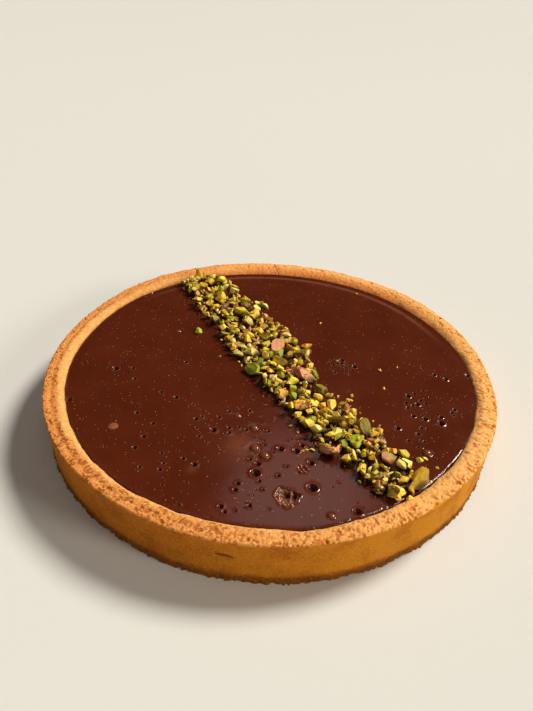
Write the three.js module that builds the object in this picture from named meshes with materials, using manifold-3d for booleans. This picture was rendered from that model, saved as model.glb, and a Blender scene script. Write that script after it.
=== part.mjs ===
// A round chocolate tart: a thick shortcrust shell baked in a ring, chocolate filling set
// almost level with its rim, and a straight row of chopped pistachios laid across the top.
// Millimetres, +Z up. The origin is at the centre of the underside, on the table.
// +X is to the right and +Y points away from whoever looks at the tart's front.
import * as THREE from 'three';
import { mergeVertices } from 'three/addons/utils/BufferGeometryUtils.js';
import Module from 'manifold-3d';

const wasm = await Module();
wasm.setup();

const { degToRad, radToDeg, smoothstep, lerp, clamp, euclideanModulo } = THREE.MathUtils;
const fullTurn = 2 * Math.PI;

// The shell
const outerRadius = 130;
const baseRadius = 128.6;
const rimHeight = 27.5;
const rimWidth = 11;
const bandWidth = 6.4;
const shoulderDrop = 3.4;
const shoulderFacets = 4;
const edgeBevel = 0.6;
const wallTaper = 1.4;
const floorThickness = 5;
const floorFillet = 4;
const ringSteps = 128;

// How far hand work and baking push the shell from a true ring
const rimWaveHeight = 0.3;
const rimChipHeight = 0.18;
const footCrumbDepth = 0.45;
const outerDents = [
  { atDegrees: 130, spread: 22, by: 2.1 },
  { atDegrees: 76, spread: 26, by: -1.3 },
  { atDegrees: 235, spread: 16, by: -0.8 },
  { atDegrees: 2, spread: 14, by: -0.9 },
];
const innerDents = [
  { atDegrees: 131, spread: 14, by: -1.6 },
  { atDegrees: 36, spread: 22, by: 2.4 },
  { atDegrees: 281, spread: 12, by: 1.5 },
  { atDegrees: 206, spread: 12, by: -0.7 },
];

// Marks in the shell: small torn holes in the rim's flat band and one crease low on the front
const rimHoles = { count: 22, smallest: 0.7, sizeRange: 0.6, stretch: 1.7, depth: 0.9 };
const rimHoleMargins = { outer: 1.6, inner: 0.8 };
const sideCrease = { atDegrees: 262.3, height: 17, length: 8.4, opening: 1.5, depth: 1.1, tilt: -0.12 };

// The filling
const fillLevel = 25.7;
const fitGap = 0.3;
const meniscusWidth = 1.6;
const meniscusDrop = 0.35;

// Bubbles that set as domes on the filling: [x, y, width, rise]
const domes = [
  [-81, -58, 5.4, 0.5],
  [-60, 33, 3.4, 0.6],
  [-8, -55, 4.2, 0.9],
  [-7, -70, 5, 1.1],
  [-2, -75, 5, 1.3],
  [-17, -46, 3.4, 0.6],
  [80, -69, 5.2, 1.4],
  [29, -111, 3.6, 0.8],
];

// The largest of the bubbles that burst and left a pit: [x, y, width]
const pits = [
  [-6, -87, 4.8],
  [21, -95, 5],
  [17, -83, 4.6],
  [21, -79, 3.4],
  [6, -70, 3.6],
  [14, -71, 3.6],
  [-5, -81, 3],
  [-29, -58, 3.4],
  [-91, -9, 4],
  [-36, -83, 3],
  [41, -108, 4],
  [-21, -108, 2.8],
  [103, -7, 3],
  [78, -24, 3],
  [82, -31, 3],
  [84, -43, 3],
  [92, -46, 3.8],
  [68, -51, 3],
  [-64, -65, 2.6],
  [-67, -73, 2.6],
  [-52, -33, 2.8],
  [-51, 0, 2.6],
  [43, 8, 3],
  [50, 2, 3],
];
const pitDepthShare = 0.4;

// The torn crater where a large bubble sank, with the shred left standing in it
const crater = { at: [9, -101], half: [6.2, 5.6, 3], roughness: 0.25 };
const craterShred = { from: [-1.6, -1.4, -2.6], half: [2.4, 1.2, 1.4] };

// Crumbs that fell beside the row: [x, y, length]
const strays = [
  [-47, 33, 8],
  [-31, 7, 2.4],
  [60, 90, 2.4],
  [32, 49, 2.4],
  [65, -18, 2.6],
  [65, -1, 3],
  [17, -71, 2.4],
  [78, -73, 4],
  [83, -79, 2.4],
  [46, -26, 3.2],
];

// The pistachio row, measured along its own line and across it
const rowTurn = degToRad(-60.6);
const rowReach = 117;
const bed = { height: 2.4, share: 0.92, bumpLength: 5.5, bumpsAcross: 5, shortfall: 3, crown: 0.75 };
const bedBumps = { lowest: 0.45, riseRange: 0.9, narrowest: 0.86, spreadRange: 0.28 };

// How far the row reaches to its two sides: [along, left, right]
const rowEdges = [
  [-117, -11, 9],
  [-108, -13, 15],
  [-98, -13, 19],
  [-78, -14, 20],
  [-61, -14, 27],
  [-48, -15, 23],
  [-27, -16, 26],
  [0, -15, 26],
  [14, -13, 21],
  [26, -12, 16],
  [44, -12, 14.5],
  [61, -9, 20],
  [76, -12, 23],
  [88, -8, 18],
  [100, -6, 22],
  [111, -3, 23],
  [117, 0, 19],
];

// The largest nuts, by hand: [along, across, length, width, turn in degrees, lift, kind]
const keyNuts = [
  [-114, 3, 12, 5, -7, 2.4, 'kernel'],
  [-106, -6, 13, 7, 33, 0, 'kernel'],
  [-79, 3, 15, 6.5, -10, 1.5, 'kernel'],
  [-61, 26, 12.5, 5, 47, 0, 'block'],
  [-67, 0, 11, 3.5, 117, 2.5, 'shard'],
  [-44, 6, 9.5, 7.5, 47, 1.5, 'block'],
  [-47, -9, 11, 5, 26, 0, 'block'],
  [-24, 10, 10, 5, 34, 1.5, 'kernel'],
  [-25, -11, 10.5, 4, 61, 0.5, 'kernel'],
  [-18, -14, 11, 3.6, 51, 0, 'shard'],
  [-13, -6, 9, 8, 80, 1, 'block'],
  [-11, 11, 14, 7, 134, 2, 'kernel'],
  [1, 22, 12, 7, 109, 0.5, 'kernel'],
  [4, 4, 10, 6, 37, 2, 'kernel'],
  [2, -13, 10, 6.5, 22, 0.5, 'kernel'],
  [21, 11, 15, 5.5, 29, 1.5, 'kernel'],
  [36, 12, 8, 6.5, 23, 1, 'kernel'],
  [43, -5, 10, 6, 61, 1, 'kernel'],
  [63, 8, 14.5, 6, 45, 2, 'kernel'],
  [73, 16, 12, 5.5, -25, 1.5, 'kernel'],
  [77, 21, 8, 5, 21, 0, 'block'],
  [70, -2, 10.5, 5, 68, 1.5, 'block'],
  [79, 6, 11.5, 5, -31, 2, 'kernel'],
  [84, 11, 10.5, 4.5, 19, 2, 'shard'],
  [77, -9.5, 10, 6, 30, 0.5, 'kernel'],
  [95, -1, 12.5, 4, -36, 1.5, 'block'],
  [113, 19.5, 13, 6.5, 120, 1, 'kernel'],
  [114, 3, 9, 5.5, 53, 1, 'kernel'],
];

// The rest of the nuts, laid by rule: each is a little shorter than the one before
const looseNuts = { count: 80, longest: 10, halving: 60, fade: 0.7, spread: 0.9, tries: 9, lift: 2.6 };
const looseKinds = ['block', 'block', 'kernel', 'shard', 'crumb'];
const looseWidth = { shard: 0.38, slimmest: 0.6, range: 0.25 };
const personalSpace = 0.3;

// How each kind is chopped: its thickness as a share of its width, how many flat cuts it has,
// how they scatter round it and lean upwards, and how far from its middle they lie, as a share
// of its half size
const chopping = {
  kernel: { flatness: 0.82, cuts: 1, scatter: 1, lean: 0.6, leanRange: 0.8, depth: 0.4 },
  block: { flatness: 0.8, cuts: 4, scatter: 0.16, lean: -0.42, leanRange: 1.2, depth: 0.52 },
  shard: { flatness: 0.5, cuts: 2, scatter: 0.16, lean: -0.42, leanRange: 1.2, depth: 0.52 },
  crumb: { flatness: 0.8, cuts: 3, scatter: 0.16, lean: -0.42, leanRange: 1.2, depth: 0.52 },
};
const cutDepthRange = 0.3;
const flatnessRange = 0.16;
const pitchRange = 0.7;
const rollRange = 1.4;
const nutRest = 0.36;
const fineNut = { longerThan: 11, fullness: 1.03 };
const coarseNutFullness = 1.12;

const innerRadius = outerRadius - rimWidth;

// Repeatable draws between 0 and 1
function makeRandom(seed) {
  let state = seed >>> 0;
  return () => {
    state = (state + 0x6d2b79f5) >>> 0;
    let mixed = Math.imul(state ^ (state >>> 15), state | 1);
    mixed ^= mixed + Math.imul(mixed ^ (mixed >>> 7), mixed | 61);
    return ((mixed ^ (mixed >>> 14)) >>> 0) / 2 ** 32;
  };
}

// A closed, smooth up and down of the given number of knots round the ring, from -1 to 1
function ringNoise(knots, seed) {
  const random = makeRandom(seed);
  const heights = Array.from({ length: knots }, () => 2 * random() - 1);
  return (angle) => {
    const place = euclideanModulo(angle / fullTurn, 1) * knots;
    const knot = Math.floor(place);
    const blend = smoothstep(place - knot, 0, 1);
    return lerp(heights[knot % knots], heights[(knot + 1) % knots], blend);
  };
}

function dentsAt(dents, angle) {
  let push = 0;
  for (const { atDegrees, spread, by } of dents) {
    const away = euclideanModulo(radToDeg(angle) - atDegrees + 180, 360) - 180;
    push += by * Math.exp(-((away / spread) ** 2));
  }
  return push;
}

const rimWave = ringNoise(36, 11);
const rimChip = ringNoise(ringSteps, 12);
const footCrumb = ringNoise(ringSteps, 13);

// Carries the even lathe shape to the hand-made one: dents push it out or in, the rim rises
// and falls, and the foot is crumbly
function makeUneven(geometry) {
  const place = geometry.attributes.position;
  for (let i = 0; i < place.count; i++) {
    const angle = Math.atan2(place.getY(i), place.getX(i));
    const radius = Math.hypot(place.getX(i), place.getY(i));
    const height = place.getZ(i);
    const outward = clamp((radius - innerRadius) / rimWidth, 0, 1);
    const fromFloor = smoothstep(radius, innerRadius / 2, innerRadius - floorFillet);
    const push = lerp(dentsAt(innerDents, angle), dentsAt(outerDents, angle), outward) * fromFloor;
    const isFoot = outward > 0.5 && height > 0 && height < floorThickness;
    const crumb = isFoot ? footCrumbDepth * footCrumb(angle) : 0;
    const onRim = Math.ceil(outward) * smoothstep(height, fillLevel, rimHeight);
    const lift = onRim * (rimWaveHeight * rimWave(angle) + rimChipHeight * rimChip(angle));
    const uneven = radius + push + crumb;
    place.setXYZ(i, uneven * Math.cos(angle), uneven * Math.sin(angle), height + lift);
  }
  return geometry;
}

// A solid of revolution about +Z from [radius, height] pairs
function turned(pairs) {
  const outline = pairs.map(([radius, height]) => new THREE.Vector2(radius, height));
  return new THREE.LatheGeometry(outline, ringSteps).rotateX(Math.PI / 2);
}

// Radius of the shell's inner face at a height
function innerFaceAt(height) {
  return innerRadius - wallTaper * (1 - height / rimHeight);
}

// The rounded shoulder between the flat band and the inner face, from the band inwards
function shoulder() {
  const reach = rimWidth - bandWidth;
  const pairs = [];
  for (let i = 0; i <= shoulderFacets; i++) {
    const turn = (i / shoulderFacets) * (Math.PI / 2);
    const radius = innerRadius + reach * (1 - Math.sin(turn));
    pairs.push([radius, rimHeight - shoulderDrop * (1 - Math.cos(turn))]);
  }
  return pairs;
}

// The shell's section, or with grow above zero the space that other pieces leave free for it
function shellOutline(grow) {
  const filletTop = floorThickness + floorFillet;
  return [
    [0, 0],
    [baseRadius - 1, 0],
    [baseRadius, 1],
    [baseRadius + 0.5, floorThickness],
    [outerRadius - edgeBevel / 2, rimHeight - shoulderDrop],
    [outerRadius, rimHeight - edgeBevel + grow],
    [outerRadius - edgeBevel, rimHeight + grow],
    ...shoulder().map(([radius, height]) => [radius - grow, height + grow]),
    [innerFaceAt(filletTop) - grow, filletTop],
    [innerFaceAt(floorThickness) - floorFillet, floorThickness + grow],
    [0, floorThickness + grow],
  ];
}

// The filling's section: it fits the shell with a hair's gap, and its edge curls down
function fillingOutline() {
  const filletTop = floorThickness + floorFillet;
  const edge = innerRadius - 1.6 * fitGap;
  return [
    [0, floorThickness + fitGap],
    [innerFaceAt(floorThickness) - floorFillet - 2 * fitGap, floorThickness + fitGap],
    [innerFaceAt(filletTop) - 2 * fitGap, filletTop],
    [edge, fillLevel - meniscusWidth],
    [edge, fillLevel - meniscusDrop],
    [edge - meniscusWidth, fillLevel],
    [0, fillLevel],
  ];
}

function toSolid(geometry) {
  geometry.deleteAttribute('normal');
  geometry.deleteAttribute('uv');
  const welded = mergeVertices(geometry, 1e-4);
  return new wasm.Manifold(new wasm.Mesh({
    numProp: 3,
    vertProperties: Float32Array.from(welded.attributes.position.array),
    triVerts: Uint32Array.from(welded.index.array),
  }));
}

function toGeometry(solid) {
  const mesh = solid.getMesh();
  const geometry = new THREE.BufferGeometry();
  geometry.setAttribute('position', new THREE.BufferAttribute(mesh.vertProperties, 3));
  geometry.setIndex(new THREE.BufferAttribute(mesh.triVerts, 1));
  geometry.computeVertexNormals();
  return geometry;
}

// The one largest body: loose scraps and sealed hollows fall away
function largestBody(solid) {
  return solid.decompose().reduce((best, body) => (body.volume() > best.volume() ? body : best));
}

// A faceted lump round the origin with the given half sizes
function lump(halfSizes, detail, roughness = 0, seed = 1) {
  const geometry = new THREE.IcosahedronGeometry(1, detail);
  const place = geometry.attributes.position;
  const point = new THREE.Vector3();
  const random = makeRandom(seed);
  const phases = new THREE.Vector3(random(), random(), random()).multiplyScalar(fullTurn);
  for (let i = 0; i < place.count; i++) {
    point.fromBufferAttribute(place, i);
    const ripple = point.clone().multiplyScalar(3).add(phases);
    const swell = Math.sin(ripple.x) * Math.sin(ripple.y) * Math.sin(ripple.z);
    point.multiplyScalar(1 + roughness * swell);
    place.setXYZ(i, point.x, point.y, point.z);
  }
  return geometry.scale(...halfSizes);
}

// A round bubble's form, level with the filling
function bubble(x, y, width, rise, [around, down]) {
  const ball = new THREE.SphereGeometry(1, around, down).rotateX(Math.PI / 2);
  return ball.scale(width / 2, width / 2, rise).translate(x, y, fillLevel);
}

function holesInRim() {
  const random = makeRandom(27);
  const band = bandWidth - rimHoleMargins.outer - rimHoleMargins.inner;
  const holes = [];
  for (let i = 0; i < rimHoles.count; i++) {
    const angle = (fullTurn * (i + 0.8 * random())) / rimHoles.count;
    const outermost = outerRadius + dentsAt(outerDents, angle) - rimHoleMargins.outer;
    const radius = outermost - band * random();
    const size = rimHoles.smallest + rimHoles.sizeRange * random();
    const hole = lump([size * rimHoles.stretch, size, rimHoles.depth], 0).rotateZ(random() + angle);
    holes.push(hole.translate(radius * Math.cos(angle), radius * Math.sin(angle), rimHeight));
  }
  return holes;
}

function creaseInSide() {
  const angle = degToRad(sideCrease.atDegrees);
  const half = [sideCrease.depth, sideCrease.length / 2, sideCrease.opening / 2];
  const crease = lump(half, 1).rotateX(sideCrease.tilt).rotateZ(angle);
  return crease.translate(outerRadius * Math.cos(angle), outerRadius * Math.sin(angle), sideCrease.height);
}

function buildCrust() {
  let crust = toSolid(makeUneven(turned(shellOutline(0))));
  for (const hollow of [...holesInRim(), creaseInSide()]) {
    crust = crust.subtract(toSolid(hollow));
  }
  return largestBody(crust);
}

// A crumb lies half sunk on the filling
function strayCrumb([x, y, length], index) {
  const crumb = lump([length / 2, length / 3, length / 4], 0, 0.3, index + 1).rotateZ(index);
  return crumb.translate(x, y, fillLevel + length / 8);
}

function buildFilling() {
  let filling = toSolid(makeUneven(turned(fillingOutline())));
  for (const [x, y, width, rise] of domes) {
    filling = filling.add(toSolid(bubble(x, y, width, rise, [9, 6])));
  }
  for (const [x, y, width] of pits) {
    filling = filling.subtract(toSolid(bubble(x, y, width, width * pitDepthShare, [7, 4])));
  }
  const [x, y] = crater.at;
  const hollow = lump(crater.half, 1, crater.roughness, 5).translate(x, y, fillLevel);
  const [dx, dy, dz] = craterShred.from;
  const shred = lump(craterShred.half, 0).translate(x + dx, y + dy, fillLevel + dz);
  filling = filling.subtract(toSolid(hollow)).add(toSolid(shred));
  strays.forEach((stray, index) => {
    filling = filling.add(toSolid(strayCrumb(stray, index)));
  });
  return largestBody(filling);
}

// The row's middle and half its width at a place along it
function rowSpanAt(along) {
  const next = clamp(rowEdges.findIndex(([place]) => place > along), 1, rowEdges.length - 1);
  const [from, fromLeft, fromRight] = rowEdges[next - 1];
  const [to, toLeft, toRight] = rowEdges[next];
  const blend = smoothstep(along, from, to);
  const left = lerp(fromLeft, toLeft, blend);
  const right = lerp(fromRight, toRight, blend);
  return { middle: (left + right) / 2, half: (right - left) / 2 };
}

// Draws how one nut was chopped: its thickness, its tilt and the flat faces that the knife left
function chop(nut, random) {
  const { flatness, cuts, scatter, lean, leanRange, depth } = chopping[nut.kind];
  nut.height = nut.width * (flatness + flatnessRange * random());
  nut.pitch = (random() - 0.5) * pitchRange;
  nut.roll = (random() - 0.5) * rollRange;
  nut.cuts = [];
  for (let i = 0; i < cuts; i++) {
    const around = fullTurn * (i / cuts + scatter * random());
    const up = lean + leanRange * random();
    const normal = new THREE.Vector3().setFromSphericalCoords(1, Math.PI / 2 - up, around);
    normal.set(normal.z, normal.x, normal.y);
    nut.cuts.push({ normal, depth: depth + cutDepthRange * random() });
  }
  return nut;
}

// The free space that a nut of some length would have round a spot, below zero where it overlaps
function roomAt(along, across, length, nuts) {
  let room = Infinity;
  for (const other of nuts) {
    const away = Math.hypot(along - other.along, across - other.across);
    room = Math.min(room, away - personalSpace * (length + other.length));
  }
  return room;
}

// Every nut of the row. Each loose one takes the roomiest of a few drawn spots
function layNuts() {
  const random = makeRandom(4065);
  const nuts = [];
  for (const [along, across, length, width, turn, lift, kind] of keyNuts) {
    nuts.push(chop({ along, across, length, width, turn: degToRad(turn), lift, kind }, random));
  }
  for (let laid = 0; laid < looseNuts.count; laid++) {
    const length = looseNuts.longest / (1 + laid / looseNuts.halving) ** looseNuts.fade;
    let best = { room: -Infinity };
    for (let i = 0; i < looseNuts.tries; i++) {
      const along = (2 * random() - 1) * rowReach;
      const side = looseNuts.spread * (2 * random() - 1);
      const { middle, half } = rowSpanAt(along);
      const across = middle + side * half;
      const room = roomAt(along, across, length, nuts);
      if (room > best.room) {
        best = { along, across, side, room };
      }
    }
    const kind = looseKinds[Math.floor(looseKinds.length * random())];
    const stout = looseWidth.slimmest + looseWidth.range * random();
    const width = length * (kind === 'shard' ? looseWidth.shard : stout);
    const lift = looseNuts.lift * (1 - best.side ** 2) * random();
    const turn = fullTurn * random();
    nuts.push(chop({ along: best.along, across: best.across, length, width, turn, lift, kind }, random));
  }
  return nuts;
}

// A nut as a few flat facets: an ellipsoid pressed onto the planes of its knife cuts
function nutGeometry(nut) {
  const isFine = nut.length > fineNut.longerThan;
  const fullness = isFine ? fineNut.fullness : coarseNutFullness;
  const geometry = new THREE.IcosahedronGeometry(fullness, isFine ? 1 : 0);
  const place = geometry.attributes.position;
  const point = new THREE.Vector3();
  for (let i = 0; i < place.count; i++) {
    point.fromBufferAttribute(place, i);
    for (const { normal, depth } of nut.cuts) {
      point.addScaledVector(normal, -Math.max(0, point.dot(normal) - depth));
    }
    place.setXYZ(i, point.x, point.y, point.z);
  }
  geometry.scale(nut.length / 2, nut.width / 2, nut.height / 2);
  geometry.rotateX(nut.roll).rotateY(nut.pitch).rotateZ(nut.turn);
  geometry.translate(nut.along, nut.across, fillLevel + fitGap + nutRest * nut.height + nut.lift);
  return geometry.rotateZ(rowTurn);
}

// The bed of finer pieces under the nuts, a strip with one bump for each, thin at its edges
function rowBed() {
  const random = makeRandom(31);
  const reach = rowReach - bed.shortfall;
  const bumpsAlong = Math.round((2 * reach) / bed.bumpLength);
  const strip = new THREE.BoxGeometry(2 * reach, 2, 2, bumpsAlong, bed.bumpsAcross, 1);
  const place = strip.attributes.position;
  const bumps = new Map();
  for (let i = 0; i < place.count; i++) {
    const along = place.getX(i);
    const side = place.getY(i);
    const spot = `${along.toFixed(2)} ${side.toFixed(2)}`;
    if (!bumps.has(spot)) {
      const sway = (random() - 0.5) * 0.5 * bed.bumpLength;
      const rise = bedBumps.lowest + bedBumps.riseRange * random();
      const spread = bedBumps.narrowest + bedBumps.spreadRange * random();
      bumps.set(spot, { sway, rise, spread });
    }
    const { sway, rise, spread } = bumps.get(spot);
    const { middle, half } = rowSpanAt(along);
    const across = middle + side * half * bed.share * spread;
    const crown = bed.height * (1 - bed.crown * side ** 2) * rise;
    const height = place.getZ(i) < 0 ? -bed.height : crown;
    place.setXYZ(i, along + sway, across, height);
  }
  return strip.translate(0, 0, fillLevel + fitGap).rotateZ(rowTurn);
}

// Nuts and bed as one heap, cut level over the filling and back from the shell
function buildPistachios() {
  let heap = toSolid(rowBed());
  for (const nut of layNuts()) {
    heap = heap.add(toSolid(nutGeometry(nut)));
  }
  const belowLevel = new THREE.BoxGeometry(4 * outerRadius, 4 * outerRadius, rimHeight);
  const ground = toSolid(belowLevel.translate(0, 0, fillLevel + fitGap - rimHeight / 2));
  const shellSpace = toSolid(makeUneven(turned(shellOutline(1.5 * fitGap))));
  return largestBody(heap.subtract(ground).subtract(shellSpace));
}

const tart = new THREE.Group();

function addPiece(name, solid, color, roughness) {
  const material = new THREE.MeshStandardMaterial({ color, roughness, metalness: 0 });
  const mesh = new THREE.Mesh(toGeometry(solid), material);
  mesh.name = name;
  tart.add(mesh);
}

addPiece('crust', buildCrust(), 0xc98a45, 0.85);
addPiece('filling', buildFilling(), 0x3a1a10, 0.25);
addPiece('pistachio_row', buildPistachios(), 0xa8a03c, 0.6);

export default tart;
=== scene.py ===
import math

import bmesh
import bpy
import numpy as np
from mathutils import Matrix, Vector
from mathutils.geometry import delaunay_2d_cdt


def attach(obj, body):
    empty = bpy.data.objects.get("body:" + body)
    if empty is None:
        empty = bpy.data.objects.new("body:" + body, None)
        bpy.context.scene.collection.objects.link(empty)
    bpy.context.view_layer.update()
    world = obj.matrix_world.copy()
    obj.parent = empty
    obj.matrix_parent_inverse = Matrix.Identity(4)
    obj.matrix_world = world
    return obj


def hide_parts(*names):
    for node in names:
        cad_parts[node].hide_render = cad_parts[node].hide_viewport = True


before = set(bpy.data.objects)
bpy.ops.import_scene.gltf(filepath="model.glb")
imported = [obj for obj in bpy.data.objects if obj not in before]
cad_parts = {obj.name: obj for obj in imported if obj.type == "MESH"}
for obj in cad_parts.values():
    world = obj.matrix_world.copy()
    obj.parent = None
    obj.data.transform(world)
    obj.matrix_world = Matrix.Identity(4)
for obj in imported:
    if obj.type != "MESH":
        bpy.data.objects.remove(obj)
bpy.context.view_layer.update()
mm = 0.001
fullTurn = 2 * math.pi


# Repeatable draws between 0 and 1, the same ones that laid the solid row of nuts
def makeRandom(seed):
    state = [seed & 0xFFFFFFFF]

    def draw():
        state[0] = (state[0] + 0x6D2B79F5) & 0xFFFFFFFF
        now = state[0]
        mixed = ((now ^ (now >> 15)) * (now | 1)) & 0xFFFFFFFF
        stir = ((mixed ^ (mixed >> 7)) * (mixed | 61)) & 0xFFFFFFFF
        mixed ^= (mixed + stir) & 0xFFFFFFFF
        return ((mixed ^ (mixed >> 14)) & 0xFFFFFFFF) / 2**32

    return draw


def smooth(value, low, high):
    part = np.clip((np.asarray(value, float) - low) / (high - low), 0, 1)
    return part * part * (3 - 2 * part)


# 1 where a value is at its middle, fading away over its width
def bell(value, middle, width):
    return np.exp(-(((value - middle) / width) ** 2))


# A round hollow: 1 at no distance, 0 from a distance of 1 on
def bowl(far, power=0.5):
    return np.clip(1 - far**2, 0, 1) ** power


# Smooth noise from -1 to 1 with lumps of the given size, for any number of points
def lumps(points, size, seed=0):
    place = np.asarray(points, float) / size + 512
    cell = np.floor(place).astype(np.int64)
    part = place - cell
    blend = part * part * (3 - 2 * part)
    total = np.zeros(place.shape[:-1])
    for corner in range(8):
        offset = np.array([corner & 1, corner >> 1 & 1, corner >> 2 & 1])
        weight = np.where(offset == 1, blend, 1 - blend).prod(axis=-1)
        key = (cell + offset) @ np.array([73856093, 19349663, 83492791]) + seed * 7919
        key = ((key ^ (key >> 13)) * 1274126177) & 0x7FFFFFFF
        key = (key ^ (key >> 15)) * 2246822519 & 0x7FFFFFFF
        total += weight * ((key >> 7) % 4096 / 2047.5 - 1)
    return total


def turnBy(angle, axis):
    return np.array(Matrix.Rotation(angle, 3, axis))


def degreesFrom(angle, at):
    return (np.degrees(angle) - at + 180) % 360 - 180


# A sRGB colour from 0 to 255 as Blender's linear one
def tone(red, green, blue):
    parts = [part / 255 for part in (red, green, blue)]
    linear = [part / 12.92 if part < 0.04045 else ((part + 0.055) / 1.055) ** 2.4 for part in parts]
    return (*linear, 1)


def addObject(name, data):
    thing = bpy.data.objects.new(name, data)
    bpy.context.scene.collection.objects.link(thing)
    return thing


# A smooth mesh object from millimetre points and triangles, riding on the tart
def addPiece(name, points, triangles, material, nodes, marks, sharpFrom=None):
    mesh = bpy.data.meshes.new(name)
    mesh.from_pydata((np.asarray(points) * mm).tolist(), [], np.asarray(triangles).tolist())
    mesh.shade_smooth()
    for markName, values in marks.items():
        values = np.asarray(values, np.float32)
        place = "POINT" if len(values) == len(points) else "FACE"
        kind, key = ("FLOAT", "value") if values.ndim == 1 else ("FLOAT_COLOR", "color")
        mesh.attributes.new(markName, kind, place).data.foreach_set(key, values.ravel())
    if sharpFrom:
        mesh.set_sharp_from_angle(angle=math.radians(sharpFrom))
    mesh.materials.append(material)
    piece = addObject(name, mesh)
    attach(piece, "root")
    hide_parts(*nodes)
    print(f"{name}: {len(triangles)} triangles")


# Wraps a socket of a material, so that shader maths reads as plain sums
class Wire:
    def __init__(self, finish, socket):
        self.finish = finish
        self.socket = socket

    def __add__(self, other):
        return self.finish.maths("ADD", self, other)

    def __sub__(self, other):
        return self.finish.maths("SUBTRACT", self, other)

    def __rsub__(self, other):
        return self.finish.maths("SUBTRACT", other, self)

    def __mul__(self, other):
        return self.finish.maths("MULTIPLY", self, other)

    __radd__ = __add__
    __rmul__ = __mul__


# A material that is built up node by node round one principled shader
class Finish:
    def __init__(self, name, fixed):
        self.material = bpy.data.materials.new(name)
        self.material.use_nodes = True
        self.tree = self.material.node_tree
        self.shader = self.tree.nodes["Principled BSDF"]
        for socket, value in fixed.items():
            self.shader.inputs[socket].default_value = value
        self.place = self.node("ShaderNodeTexCoord", output="Object")

    # One node: its settings are set first, then the values or links of its sockets
    def node(self, kind, settings=None, sockets=None, output=0):
        node = self.tree.nodes.new(kind)
        for key, value in (settings or {}).items():
            setattr(node, key, value)
        for key, value in (sockets or {}).items():
            self.feed(node.inputs[key], value)
        return Wire(self, node.outputs[output])

    def feed(self, socket, value):
        if isinstance(value, Wire):
            self.tree.links.new(value.socket, socket)
        else:
            socket.default_value = value

    def maths(self, operation, first, second):
        return self.node("ShaderNodeMath", {"operation": operation}, {0: first, 1: second})

    def mark(self, name, output="Fac"):
        return self.node("ShaderNodeAttribute", {"attribute_name": name}, output=output)

    def noise(self, size, detail=2.0, roughness=0.5, distortion=0.0):
        sockets = {"Vector": self.place, "Scale": 1 / (size * mm), "Detail": detail, "Roughness": roughness}
        return self.node("ShaderNodeTexNoise", {}, {**sockets, "Distortion": distortion})

    def cells(self, size):
        sockets = {"Vector": self.place, "Scale": 1 / (size * mm)}
        return self.node("ShaderNodeTexVoronoi", {}, sockets, "Distance")

    # Spreads a value between low and high over 0 to 1, softly
    def spread(self, value, low, high):
        sockets = {"Value": value, "From Min": low, "From Max": high}
        return self.node("ShaderNodeMapRange", {"interpolation_type": "SMOOTHSTEP"}, sockets)

    def blend(self, first, second, share):
        return self.node("ShaderNodeMix", {"data_type": "RGBA"}, {0: share, 6: first, 7: second}, 2)

    # Lays colours over a first one, each with its share
    def layers(self, color, *coats):
        for coat, share in coats:
            color = self.blend(color, coat, share)
        return color

    def bump(self, height, depth, under=None):
        sockets = {"Height": height, "Distance": depth * mm, "Strength": 1.0}
        if under:
            sockets["Normal"] = under
        return self.node("ShaderNodeBump", {}, sockets)

    # Lays a second shader over the first, for things such as holes that no light gets into
    def cover(self, second, share):
        first = Wire(self, self.shader.outputs[0])
        both = self.node("ShaderNodeMixShader", {}, {0: share, 1: first, 2: second})
        self.feed(self.tree.nodes["Material Output"].inputs["Surface"], both)

    def finish(self, **values):
        names = {"color": "Base Color", "roughness": "Roughness", "normal": "Normal"}
        for key, value in values.items():
            self.feed(self.shader.inputs[names[key]], value)
        return self.material


# The tart's own sizes in millimetres, as the solid has them
tart = {
    "outerRadius": 130,
    "baseRadius": 128.6,
    "rimHeight": 27.5,
    "rimWidth": 11,
    "bandWidth": 6.4,
    "shoulderDrop": 3.4,
    "edgeBevel": 0.6,
    "wallTaper": 1.4,
    "floor": 5,
    "fillet": 4,
    "fillLevel": 25.7,
    "gap": 0.3,
}
innerRadius = tart["outerRadius"] - tart["rimWidth"]
outerDents = [(130, 22, 2.1), (76, 26, -1.3), (235, 16, -0.8), (2, 14, -0.9)]  # degrees, spread, push
innerDents = [(144, 13, 1.0), (80, 30, -2.9), (38, 22, -1.0), (3, 16, 0.1), (280, 9, 1.7), (206, 12, -0.5)]
# Toward the back right the shoulder slopes in more gently: its width, drop and curve there
broadShoulder = {"toward": 62, "reach": 8.0, "drop": 2.9, "curve": 2.0}


def dentsAt(dents, angle):
    return sum(by * bell(degreesFrom(angle, at), 0, spread) for at, spread, by in dents)


# How far the dents push a place out, from 0 at the inner face to 1 at the outer one
def pushAt(angle, outward):
    return dentsAt(innerDents, angle) * (1 - outward) + dentsAt(outerDents, angle) * outward


def ringNoise(knots, seed, angle):
    random = makeRandom(seed)
    heights = np.array([2 * random() - 1 for _ in range(knots)])
    place = np.asarray(angle, float) / fullTurn % 1 * knots
    knot = np.floor(place).astype(int)
    blend = smooth(place - knot, 0, 1)
    return heights[knot % knots] * (1 - blend) + heights[(knot + 1) % knots] * blend


# Where the shell's inner face meets the filling, and how far in from there a place lies
def fillEdgeAt(angle):
    return innerRadius - 1.6 * tart["gap"] + dentsAt(innerDents, angle)


def insideEdge(x, y):
    return fillEdgeAt(np.arctan2(y, x)) - np.hypot(x, y)


def innerWallAt(height):
    return innerRadius - tart["wallTaper"] * (1 - height / tart["rimHeight"])


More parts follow.
